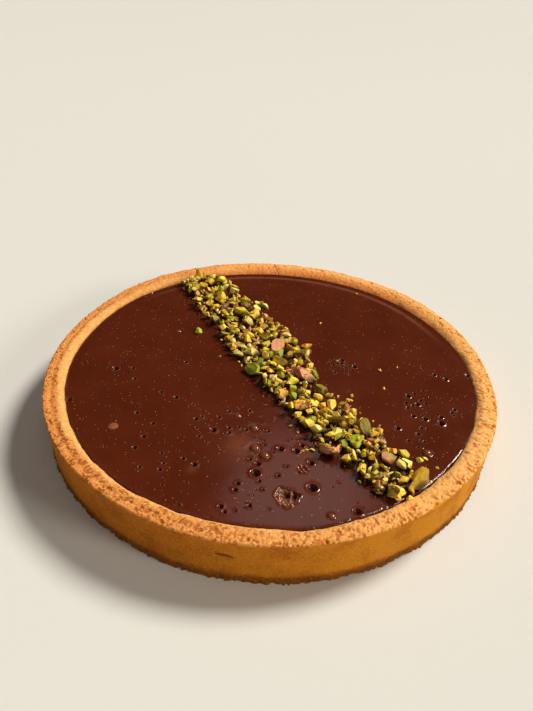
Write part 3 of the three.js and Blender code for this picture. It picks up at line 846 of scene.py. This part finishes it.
def buildFilling():
    look = fillingLook
    bubbles = layBubbles()
    steps = look["stepsRound"]
    flat = np.concatenate([edgeRings(steps), meshSpots(bubbles)])
    border = [(i, (i + 1) % steps) for i in range(steps)]
    spots, _, faces, *_ = delaunay_2d_cdt([Vector(spot) for spot in flat.tolist()], border, [], 1, 1e-5)
    flat, faces = np.array([tuple(spot) for spot in spots]), np.array([list(face) for face in faces])
    a, b, c = flat[faces[:, 0]], flat[faces[:, 1]], flat[faces[:, 2]]
    turned = (b - a)[:, 0] * (c - a)[:, 1] - (b - a)[:, 1] * (c - a)[:, 0] < 0
    faces[turned] = faces[turned][:, ::-1]

    x, y = flat.T
    flatPlace = np.stack([x, y, 0 * x], -1)
    top, pale, hole, lips = addBubbles(x, y, plainTop(x, y, flatPlace), bubbles)
    rise, dark, torn = craterAt(x, y, flatPlace)
    angle, inside = np.arctan2(y, x), insideEdge(x, y)
    toBack = smooth(np.cos(angle - math.radians(62)), 0.05, 0.7)
    line = bell(inside, look["lineIn"], look["lineWidth"]) * toBack * smooth(np.degrees(angle), 13, 33)
    marks = {
        "pale": pale,
        "hole": np.maximum(hole, dark),
        "lips": lips,
        "torn": torn,
        "seam": (1 - smooth(inside, 0.5, 2.2)) * (1 - 0.85 * calmAt(angle)),
        "line": line,
        "shade": smooth(inside, 5.4, 3.2) * toBack * smooth(np.degrees(angle), 8, 35),
    }
    points, faces = closeBelow(np.column_stack([flat, top + rise]), faces)
    below = np.zeros(len(points) - len(flat))
    return points, faces, {name: np.append(mark, below) for name, mark in marks.items()}


def fillingFinish():
    look = fillingLook
    f = Finish("glossyChocolate", {"Roughness": 0.2, "Specular IOR Level": 0.5, "IOR": 1.46})
    hole, torn = f.mark("hole"), f.mark("torn")
    cloudy = f.noise(26, 3)
    mottle = f.noise(1.1, 3, 0.6)
    color = f.layers(
        f.blend(look["dark"], look["tone"], f.spread(cloudy, 0.25, 0.7)),
        # painted reflection in the pale line, and painted shadow of the rim beside the crust, toward the back
        (look["paintedReflectionTone"], f.mark("line") * f.spread(f.noise(12, 2), 0.2, 0.5)),
        (look["rimShadowTone"], f.mark("shade") * 0.8),
        # pale specks: dust, and painted glints of tiny pinholes
        (look["dustAndGlintTone"], f.spread(f.cells(2.1), 0.14, 0.07) * f.spread(f.noise(9, 2), 0.42, 0.6) * 0.85),
        # painted glow: the lips of the pits and the froth's rim turn reddish, as light through their thin
        # chocolate
        (look["lipGlowTone"], f.mark("lips") * 0.6),
        # pale places: on the domes partly painted light they reflect and let through, and faint paler patches
        # elsewhere
        (look["paleAndDomeLightTone"], f.mark("pale") * 0.55),
        # painted shade in the pits and the crater's hollows
        (look["holeShadeTone"], hole * 0.9),
        (look["tornTone"], torn * f.spread(mottle, 0.2, 0.7)),
    )
    roughness = look["roughness"] + f.spread(cloudy, 0.35, 0.75) * 0.06 + torn * 0.1 + hole * 0.3
    fine = f.bump(f.noise(0.5, 2), look["fineDepth"])
    fine = f.bump(mottle, look["mottleDepth"], fine)
    fine = f.bump(f.noise(0.9, 2) * f.mark("seam"), look["seamDepth"], fine)
    # painted shade: a dark matte shader over the pits and crater hollows
    f.cover(f.node("ShaderNodeBsdfDiffuse", {}, {"Color": look["holeShadeTone"]}), hole * 0.9)
    return f.finish(color=color, roughness=roughness, normal=fine)


points, triangles, marks = buildFilling()
sharpFrom = fillingLook["sharpFrom"]
addPiece("chocolateFilling", points, triangles, fillingFinish(), ["filling"], marks, sharpFrom)


# Colours of the flesh that cuts show and of the skin outside
nutTones = {
    "yellow": tone(255, 213, 76),
    "pale": tone(255, 233, 128),
    "lime": tone(232, 208, 54),
    "green": tone(160, 174, 34),
    "moss": tone(126, 112, 12),
    "leaf": tone(154, 166, 32),
    "gold": tone(250, 184, 54),
    "olive": tone(178, 138, 18),
    "darkOlive": tone(112, 88, 6),
    "pink": tone(222, 150, 114),
    "purple": tone(152, 78, 66),
    "brown": tone(182, 102, 24),
    "inner": tone(220, 192, 38),
    "toasted": tone(250, 196, 84),
    # Painted shade deep in the heap and in the grooves of the folds
    "creviceShade": tone(66, 36, 3),
}

# The largest nuts: along, across, length, width, turn, lift, kind, colour on top and at the sides
keyNuts = [
    (-114, 3, 12, 5, -7, 2.4, "kernel", "olive", "olive"),
    (-106, -6, 13, 7, 33, 0, "kernel", "darkOlive", "olive"),
    (-79, 3, 15, 6.5, -10, 1.5, "kernel", "lime", "gold"),
    (-61, 26, 12.5, 5, 47, 0, "block", "pale", "leaf"),
    (-67, 0, 11, 3.5, 117, 2.5, "shard", "purple", "purple"),
    (-44, 6, 9.5, 7.5, 47, 1.5, "block", "pale", "leaf"),
    (-47, -9, 11, 5, 26, 0, "block", "yellow", "brown"),
    (-24, 10, 10, 5, 34, 1.5, "kernel", "darkOlive", "lime"),
    (-25, -11, 10.5, 4, 61, 0.5, "kernel", "pink", "lime"),
    (-18, -14, 11, 3.6, 51, 0, "shard", "gold", "brown"),
    (-13, -6, 9, 8, 80, 1, "block", "pale", "gold"),
    (-11, 11, 14, 7, 134, 2, "kernel", "pink", "olive"),
    (1, 22, 12, 7, 109, 0.5, "kernel", "darkOlive", "purple"),
    (4, 4, 10, 6, 37, 2, "kernel", "olive", "darkOlive"),
    (2, -13, 10, 6.5, 22, 0.5, "kernel", "green", "moss"),
    (21, 11, 15, 5.5, 29, 1.5, "kernel", "pink", "purple"),
    (36, 12, 8, 6.5, 23, 1, "kernel", "moss", "darkOlive"),
    (43, -5, 10, 6, 61, 1, "kernel", "gold", "brown"),
    (63, 8, 14.5, 6, 45, 2, "kernel", "olive", "darkOlive"),
    (73, 16, 12, 5.5, -25, 1.5, "kernel", "moss", "darkOlive"),
    (77, 21, 8, 5, 21, 0, "block", "gold", "olive"),
    (70, -2, 10.5, 5, 68, 1.5, "block", "yellow", "gold"),
    (79, 6, 11.5, 5, -31, 2, "kernel", "leaf", "leaf"),
    (84, 11, 10.5, 4.5, 19, 2, "shard", "pink", "brown"),
    (77, -9.5, 10, 6, 30, 0.5, "kernel", "pink", "pink"),
    (95, -1, 12.5, 4, -36, 1.5, "block", "lime", "leaf"),
    (113, 19.5, 13, 6.5, 120, 1, "kernel", "olive", "olive"),
    (114, 3, 9, 5.5, 53, 1, "kernel", "darkOlive", "yellow"),
]

# Smaller pieces with a place of their own, in the same order
placedNuts = [
    (-10, 22, 5, 4.4, 20, 0, "block", "green", "leaf"),
    (-6, 28, 8, 4.5, 75, 0, "block", "gold", "purple"),
    (118, 2, 3.4, 2.6, 40, 0, "crumb", "yellow", "gold"),
    (119, 8.5, 3.6, 2.6, 70, 0, "crumb", "yellow", "gold"),
    (95, 24, 7.5, 4.5, 20, 0, "block", "lime", "leaf"),
    (102, 29, 4.5, 3, 60, 0, "shard", "lime", "leaf"),
    (112, 10, 6.5, 4, 80, 0, "block", "yellow", "gold"),
    (104, 14, 7, 4.5, 10, 0, "block", "pale", "leaf"),
]

# How each kind is chopped: thickness, cuts, their scatter, lean, range of lean and depth
chopping = {
    "kernel": (0.82, 1, 1, 0.6, 0.8, 0.4),
    "block": (0.8, 4, 0.16, -0.42, 1.2, 0.52),
    "shard": (0.5, 2, 0.16, -0.42, 1.2, 0.52),
    "crumb": (0.8, 3, 0.16, -0.42, 1.2, 0.52),
}
looseKinds = ["block", "block", "kernel", "shard", "crumb"]
brokenKinds = ["block", "shard", "crumb", "shard"]


def wayTo(around, up):
    return math.cos(around) * math.cos(up), math.sin(around) * math.cos(up), math.sin(up)


def chop(nut, random):
    flatness, cuts, scatter, lean, leanRange, depth = chopping[nut["kind"]]
    nut["height"] = nut["width"] * (flatness + 0.16 * random())
    nut["pitch"] = (random() - 0.5) * 0.7
    nut["roll"] = (random() - 0.5) * 1.4
    nut["cuts"] = []
    for i in range(cuts):
        around = fullTurn * (i / cuts + scatter * random())
        up = lean + leanRange * random()
        nut["cuts"].append((wayTo(around, up), depth + 0.3 * random()))
    return nut


# A nut from one line of the listed ones
def handLaid(line, random):
    names = ("along", "across", "length", "width", "turn", "lift", "kind", "flesh", "skin")
    nut = dict(zip(names, line))
    nut["turn"] = math.radians(nut["turn"])
    return chop(nut, random)


# The nuts that the solid row has too, in the same places
def layNuts():
    random = makeRandom(4065)
    nuts = [handLaid(line, random) for line in keyNuts]
    for laid in range(row["loose"]):
        length = row["longest"] / (1 + laid / row["halving"]) ** row["fade"]
        best = (-math.inf,)
        for _ in range(row["tries"]):
            along = (2 * random() - 1) * row["reach"]
            side = row["spread"] * (2 * random() - 1)
            middle, half = rowSpanAt(along)
            across = middle + side * half
            room = min(math.hypot(along - n["along"], across - n["across"]) - 0.3 * (length + n["length"])
                       for n in nuts)
            best = max(best, (room, along, across, side))
        kind = looseKinds[int(len(looseKinds) * random())]
        stout = 0.6 + 0.25 * random()
        width = length * (0.38 if kind == "shard" else stout)
        lift = row["lift"] * (1 - best[3] ** 2) * random()
        nut = {"along": best[1], "across": best[2], "length": length, "width": width, "lift": lift}
        nuts.append(chop({**nut, "turn": fullTurn * random(), "kind": kind}, random))
    for nut in nuts:
        nut["z"] = tart["fillLevel"] + tart["gap"] + row["rest"] * nut["height"] + nut["lift"]
    return nuts


# A map of how high the heap stands, in the row's own directions, half a millimetre a cell
class HeapMap:
    def __init__(self):
        self.cell = 0.5
        self.low = np.array([-125.0, -40.0])
        self.heights = np.full((500, 170), tart["fillLevel"])

    # Cells under a nut, with how far its underside and top lie from its middle there
    def under(self, nut, along, across):
        reach = nut["length"] / 2
        at = np.array([along, across])
        ends = [((at + way - self.low) / self.cell).astype(int) for way in (-reach, reach)]
        (fromA, fromC), (toA, toC) = np.clip([ends[0], ends[1] + 1], 0, self.heights.shape)
        a = self.low[0] + (np.arange(fromA, toA)[:, None] + 0.5) * self.cell - along
        c = self.low[1] + (np.arange(fromC, toC)[None, :] + 0.5) * self.cell - across
        cos, sin = math.cos(nut["turn"]), math.sin(nut["turn"])
        far = ((a * cos + c * sin) / reach) ** 2 + ((c * cos - a * sin) / (nut["width"] / 2)) ** 2
        half = np.where(far < 1, np.sqrt(np.clip(1 - far, 0, 1)) * nut["height"] / 2, -np.inf)
        return (slice(fromA, toA), slice(fromC, toC)), half

    # The height at which a nut's middle comes to rest
    def restAt(self, nut, along, across):
        window, half = self.under(nut, along, across)
        if half.size == 0:
            return tart["fillLevel"] + nut["height"] / 2
        return max(float((self.heights[window] + half).max()), tart["fillLevel"] + 0.3 * nut["height"])

    # How far each point lies under the top of the heap round it
    def over(self, points):
        rowWay = points @ turnBy(row["turn"], "Z")
        place = ((rowWay[:, :2] - self.low) / self.cell).astype(int)
        place = np.clip(place, 4, np.array(self.heights.shape) - 5)
        top = np.full(len(points), -np.inf)
        for along, across in ((0, 0), (3, 0), (-3, 0), (0, 3), (0, -3), (2, 2), (-2, -2), (2, -2), (-2, 2)):
            top = np.maximum(top, self.heights[place[:, 0] + along, place[:, 1] + across])
        return top - points[:, 2]

    def put(self, nut):
        window, half = self.under(nut, nut["along"], nut["across"])
        if half.size:
            self.heights[window] = np.maximum(self.heights[window], nut["z"] + 0.86 * half)


def looseNut(random, length, kinds):
    kind = kinds[int(len(kinds) * random())]
    width = length * (0.34 + 0.14 * random() if kind == "shard" else 0.48 + 0.3 * random())
    nut = chop({"length": length, "width": width, "turn": fullTurn * random(), "kind": kind}, random)
    nut.update(pitch=1.6 * nut["pitch"], roll=1.4 * nut["roll"])
    return nut


# A place in the row: along, its middle there and half its width
def somewhere(random, lean, inset):
    along = (2 * random() ** lean - 1) * (row["reach"] - inset)
    return along, *rowSpanAt(along)


# The bed of pieces on the chocolate, under all the others
def layBed(heap, random):
    bed = []
    while len(bed) < row["bedPieces"]:
        along, middle, half = somewhere(random, row["lean"], 1)
        side = 1.3 * (2 * random() - 1) * 18 / half
        if abs(side) > 0.96:
            continue
        nut = looseNut(random, row["bedLength"] + row["bedRange"] * random(), brokenKinds)
        nut.update(along=along, across=middle + side * half)
        nut["z"] = tart["fillLevel"] + (0.34 + 0.45 * (1 - side**2) * random()) * nut["height"]
        bed.append(nut)
        heap.put(nut)
    return bed


# The pieces that fell into the gaps, each to the lowest of a few places
def fillGaps(heap, random):
    gaps = []
    for line in placedNuts:
        nut = handLaid(line, random)
        nut["z"] = heap.restAt(nut, nut["along"], nut["across"]) - 0.1 * nut["height"]
        gaps.append(nut)
        heap.put(nut)
    for i in range(row["fillPieces"]):
        length = row["fillLength"] - row["fillRange"] * i / row["fillPieces"]
        nut = looseNut(random, length + random() - 0.5, brokenKinds)
        spots = []
        for _ in range(7):
            along, middle, half = somewhere(random, row["lean"], 1)
            across = middle + 0.96 * (2 * random() - 1) * half
            spots.append((heap.restAt(nut, along, across), along, across))
        z, along, across = min(spots, key=lambda spot: spot[0])
        nut.update(along=along, across=across, z=z - 0.12 * nut["height"])
        if nut["z"] + nut["height"] / 2 < row["fillHighest"]:
            gaps.append(nut)
            heap.put(nut)
    return gaps


# The crumbs in the row and round about, further out where the row is narrow
def layCrumbs(heap, random):
    crumbs = []
    for _ in range(row["crumbs"]):
        length = row["crumbLength"] + row["crumbRange"] * random() ** 2.2
        nut = looseNut(random, length, ["block", "crumb", "shard"])
        best = None
        for _ in range(3):
            along, middle, half = somewhere(random, 1, 2)
            out = random()
            spill = -5 * math.log(1 - 0.92 * random()) * (0.35 + 0.65 * bell(along, 42, 26))
            side = -1 if random() < 0.6 else 1
            across = middle + side * (half * out + (spill if out > row["spillFrom"] else 0))
            z = heap.restAt(nut, along, across) - 0.1 * nut["height"]
            if best is None or (z < best[0] and out < row["spillFrom"]):
                best = (z, along, across)
        nut.update(z=best[0], along=best[1], across=best[2])
        crumbs.append(nut)
        heap.put(nut)
    return crumbs


# Stray pieces on the chocolate: x, y, length
strays = [(-47, 33, 8), (-31, 7, 2.4), (60, 90, 2.4), (32, 49, 2.4), (65, -18, 2.6), (65, -1, 3),
          (17, -71, 2.4), (78, -73, 4), (83, -79, 2.4), (46, -26, 3.2), (76, 3, 1.8), (38, -27, 2.8),
          (45, -30, 2.8), (40, 7, 2.4), (19, -70, 2)]


def layStrays():
    random = makeRandom(305)
    fallen = []
    for x, y, length in strays:
        nut = looseNut(random, length, ["block"])
        along, across, _ = np.array([x, y, 0]) @ turnBy(row["turn"], "Z")
        nut.update(along=along, across=across, z=tart["fillLevel"] + length / 8, height=length * 0.5)
        nut.update(pitch=0, roll=0, flesh="green" if length > 5 else "yellow", skin="leaf")
        fallen.append(nut)
    return fallen


# Balls of several finenesses that nuts are carved from
def makeBall(fineness):
    ball = bmesh.new()
    bmesh.ops.create_icosphere(ball, subdivisions=fineness, radius=1)
    ball.faces.layers.int.new("cut")
    return ball, np.array([v.co for v in ball.verts])


balls = {fineness: makeBall(fineness) for fineness in (1, 2, 3, 4)}


# The further cuts of a chopped piece, facing all ways
def furtherCuts(nut, random):
    if nut["kind"] == "kernel":
        side = 1 if random() < 0.5 else -1
        lean = 0.7 * (random() - 0.5)
        if "flesh" in nut:
            return [((side * math.cos(lean), math.sin(lean), 0), 0.62 + 0.38 * random())]
    cuts = []
    for i in range({"kernel": 3, "block": 5, "shard": 4, "crumb": 4}[nut["kind"]]):
        around = fullTurn * (i * 0.382 + 0.2 * random())
        up = math.asin(0.95 - 1.6 * (i + random()) / 5)
        cuts.append((wayTo(around, up), 0.48 + 0.34 * random()))
    return cuts


# Slices one side off a piece and closes it with a face that is marked as cut
def sliceOff(ball, normal, depth):
    cut = ball.faces.layers.int["cut"]
    normal = Vector(normal)
    everything = ball.verts[:] + ball.edges[:] + ball.faces[:]
    ends = bmesh.ops.bisect_plane(ball, geom=everything, plane_co=normal * depth, plane_no=normal,
                                  clear_outer=True)
    rim = [part for part in ends["geom_cut"] if isinstance(part, bmesh.types.BMEdge)]
    if rim:
        for face in bmesh.ops.holes_fill(ball, edges=rim, sides=0)["faces"]:
            face[cut] = 1


# Gives the cut faces rings of points, so that they can be rough, and rounds the corners a little
def roughenCuts(ball, rings):
    cut = ball.faces.layers.int["cut"]
    middles = bmesh.ops.poke(ball, faces=[face for face in ball.faces if face[cut]])["verts"]
    spokes = list({edge for vertex in middles for edge in vertex.link_edges})
    if rings and spokes:
        bmesh.ops.subdivide_edges(ball, edges=spokes, cuts=rings, use_grid_fill=True)
    bmesh.ops.smooth_vert(ball, verts=ball.verts[:], factor=row["rounding"],
                          use_axis_x=True, use_axis_y=True, use_axis_z=True)
    bmesh.ops.triangulate(ball, faces=ball.faces[:])
    ball.verts.index_update()


# A ball made uneven, slimmer at a kernel's ends and sometimes with a hollow scooped out
def unevenBall(points, isKernel, seed, random):
    at = points + seed * 3.7
    shape = points * (1.14 + 0.12 * lumps(at, 1.1, 51) + 0.04 * lumps(at, 0.45, 52))[:, None]
    if isKernel:
        shape[:, 1:] *= 1.06 - 0.12 * shape[:, :1] - 0.2 * shape[:, :1] ** 2
    if random() < 0.4:
        around = fullTurn * random()
        middle = 1.5 * np.array([0.5 * math.cos(around), 0.5 * math.sin(around), 0.86])
        away = shape - middle
        far = np.linalg.norm(away, axis=1)
        scooped = far < 1.05
        shape[scooped] = middle + away[scooped] / far[scooped, None] * 1.05
    return shape


# One nut in the tart's own directions: points, triangles, which of them are cut, how far from a crease
def carveNut(nut, fineness, seed):
    template, points = balls[fineness]
    ball = template.copy()
    random = makeRandom(seed + 5)
    isKernel = nut["kind"] == "kernel"
    for vertex, place in zip(ball.verts, unevenBall(points, isKernel, seed, random)):
        vertex.co = place
    for normal, depth in nut["cuts"] + furtherCuts(nut, random):
        sliceOff(ball, normal, depth)
    roughenCuts(ball, fineness - 1)
    cut = ball.faces.layers.int["cut"]
    shape = np.array([vertex.co for vertex in ball.verts])
    triangles = np.array([[vertex.index for vertex in face.verts] for face in ball.faces])
    cuts = np.array([face[cut] for face in ball.faces])
    ball.free()
    fold = np.abs(lumps(shape * [0.3 if isKernel else 0.6, 1, 1] + seed * 3.7, 0.5, 54))
    shape = shape * (1 + row["folds"][nut["kind"]] * (fold - 0.35))[:, None]
    shape = shape * [nut["length"] / 2, nut["width"] / 2, nut["height"] / 2]
    at = shape + seed * 11.3
    relief = (0.22 * lumps(at, 2.6, 53) + 0.1 * lumps(at, 1, 55)) * min(1, nut["width"] / 6)
    shape = shape + shape / np.linalg.norm(shape, axis=1)[:, None] * relief[:, None]
    spin = turnBy(nut["turn"], "Z") @ turnBy(nut["pitch"], "Y") @ turnBy(nut["roll"], "X")
    shape = shape @ spin.T + [nut["along"], nut["across"], nut["z"]]
    shape = shape @ turnBy(row["turn"], "Z").T
    floor = np.maximum(tart["fillLevel"] - row["sunk"], shellTopAt(shape[:, 0], shape[:, 1]) + 0.05)
    shape[:, 2] = np.clip(shape[:, 2], floor, row["highest"])
    return shape, triangles, cuts, fold


# The colours of a nut's flesh and skin, its own or drawn from these
fleshNames = ["yellow", "yellow", "yellow", "pale", "pale", "lime", "lime", "gold", "olive", "green", "pink"]
skinNames = ["olive", "gold", "leaf", "moss", "olive", "darkOlive", "darkOlive", "brown", "purple"]


def pickTones(nut, random):
    drawn = fleshNames[int(len(fleshNames) * random())]
    flesh = nut.get("flesh") or drawn
    skin = nut.get("skin") or skinNames[int(len(skinNames) * random())]
    shade = 0.88 + 0.36 * random()
    return [[part * shade for part in nutTones[name][:3]] + [1] for name in (flesh, skin)]


# Carves all the nuts of one piece, the longest of them a step finer
def joinNuts(name, nuts, fineness, nodes):
    random = makeRandom(len(name) * 101)
    parts, offset = [], 0
    for index, nut in enumerate(nuts):
        shape, faces, cut, fold = carveNut(nut, fineness + (nut["length"] > row["finerFrom"]), index + 1)
        tones = [np.repeat([color], len(shape), 0) for color in pickTones(nut, random)]
        parts.append((shape, faces + offset, cut, fold, *tones))
        offset += len(shape)
    points, triangles, *marks = [np.concatenate(part) for part in zip(*parts)]
    marks = dict(zip(("cut", "fold", "flesh", "skinTone"), marks))
    # painted shade: how far each point lies down in the heap, darkening nuts deep between others
    marks["low"] = 1 - heap.over(points) / row["shade"]
    addPiece(name, points, triangles, nutMaterial, nodes, marks, row["sharpFrom"])


def nutFinish():
    f = Finish("choppedPistachio", {"Roughness": 0.4, "Specular IOR Level": 0.32})
    cut = f.mark("cut")
    patches = f.noise(3.2, 2, 0.5)
    veins = f.noise(1.1, 3, 0.6, 0.6)
    fine = f.noise(0.45, 3, 0.6)
    flesh = f.layers(
        f.mark("flesh", "Color"),
        (nutTones["inner"], f.spread(patches, 0.5, 0.3) * 0.35),
        (nutTones["toasted"], f.spread(patches + fine * 0.2, 0.62, 0.85) * 0.35),
        (nutTones["olive"], f.spread(veins, 0.55, 0.7) * 0.4),
    )
    color = f.layers(
        f.mark("skinTone", "Color"),
        (flesh, f.spread(veins + patches * 0.5, 0.74, 0.92) * 0.45),
        (flesh, cut),
        # painted shade in the grooves of the folds, and deep in the heap
        (nutTones["creviceShade"], f.spread(f.mark("fold") + veins * 0.2, 0.22, 0.06) * (0.6 - cut * 0.4)),
        (nutTones["creviceShade"], f.spread(f.mark("low"), 0.76, 0.04) * 0.94),
    )
    normal = f.bump(veins, 0.22, f.bump(fine, 0.1))
    return f.finish(color=color, roughness=0.4 + cut * 0.16 + fine * 0.08, normal=normal)


nutMaterial = nutFinish()
largeNuts = layNuts()
heap = HeapMap()
scatterRandom = makeRandom(911)
bed = layBed(heap, scatterRandom)
for nut in largeNuts:
    heap.put(nut)
gaps = fillGaps(heap, scatterRandom)
crumbs = layCrumbs(heap, scatterRandom)
joinNuts("largeNuts", largeNuts, 3, ["pistachio_row"])
joinNuts("nutBed", bed, 2, ["pistachio_row"])
joinNuts("smallNuts", gaps, 2, ["pistachio_row"])
joinNuts("nutCrumbs", crumbs, 1, ["pistachio_row"])
joinNuts("fallenNuts", layStrays(), 3, ["filling"])


studio = {
    "floorTone": (0.72, 0.72, 0.7, 1),
    "floorReach": 6,
    "world": 0.03,
    "worldTint": (1.0, 0.86, 0.7, 1),
    "key": {"from": (0.83, 0.6, 0.97), "spread": 17, "power": 3.7, "tint": (1.0, 0.95, 0.84)},
    "side": {"from": (0.87, -0.35, 0.4), "spread": 16, "power": 1.3, "tint": (1.0, 0.92, 0.76)},
    "fill": {"from": (-0.42, -0.3, 1.0), "spread": 90, "power": 0.4, "tint": (1.0, 0.92, 0.8)},
    "sheen": {"at": (0.105, 0.83, 1.13), "size": 0.42, "power": 0.45, "tint": (1.0, 0.91, 0.87)},
    "bounce": {"at": (-0.05, -0.42, 0.012), "size": 0.7, "tall": 0.024, "power": 0.25,
               "tint": (1.0, 0.93, 0.8)},
}


def addLight(name, look):
    far = "from" in look
    light = bpy.data.lights.new(name, "SUN" if far else "AREA")
    if far:
        light.angle = math.radians(look["spread"])
    else:
        light.shape = "RECTANGLE" if "tall" in look else "DISK"
        light.size = look["size"]
        light.size_y = look.get("tall", look["size"])
    light.energy = look["power"]
    light.color = look["tint"]
    lamp = addObject(name, light)
    lamp.location = look["from"] if far else look["at"]
    lamp.rotation_euler = (-lamp.location).to_track_quat("-Z", "Y").to_euler()
    lamp.visible_camera = False


for lightName in ("key", "side", "fill", "sheen", "bounce"):
    addLight(lightName + "Light", studio[lightName])

world = bpy.data.worlds.new("studioWorld")
bpy.context.scene.world = world
world.use_nodes = True
background = world.node_tree.nodes["Background"].inputs
background["Color"].default_value = studio["worldTint"]
background["Strength"].default_value = studio["world"]

reach = studio["floorReach"]
floorMesh = bpy.data.meshes.new("floor")
floorCorners = [(-reach, -reach, 0), (reach, -reach, 0), (reach, reach, 0), (-reach, reach, 0)]
floorMesh.from_pydata(floorCorners, [], [(0, 1, 2, 3)])
floorFinish = Finish("paleFloor", {"Roughness": 0.9, "Specular IOR Level": 0.2})
floorMesh.materials.append(floorFinish.finish(color=studio["floorTone"]))
addObject("floor", floorMesh)

# Where the camera stands; the focal length is a share of the sensor's height
view = {
    "lift": 35.7544,
    "roll": 2.2527,
    "distance": 0.35757,
    "aim": 0.02769,
    "right": -0.00273,
    "up": 0.00434,
    "sensor": 36,
    "focal": 600 / 711,
}
lift, roll = math.radians(view["lift"]), math.radians(view["roll"])
back = Vector((0, -math.cos(lift), math.sin(lift)))
levelRight, levelUp = Vector((1, 0, 0)), Vector((0, math.sin(lift), math.cos(lift)))
right = levelRight * math.cos(roll) + levelUp * math.sin(roll)
up = levelUp * math.cos(roll) - levelRight * math.sin(roll)
eye = Vector((0, 0, view["aim"])) + back * view["distance"] + right * view["right"] + up * view["up"]
lens = bpy.data.cameras.new("camera")
lens.sensor_fit = "VERTICAL"
lens.sensor_height = view["sensor"]
lens.lens = view["focal"] * view["sensor"]
lens.clip_start = 0.01
camera = addObject("camera", lens)
camera.matrix_world = Matrix.Translation(eye) @ Matrix((right, up, back)).transposed().to_4x4()
bpy.context.scene.camera = camera
bpy.context.scene.view_settings.view_transform = "Standard"
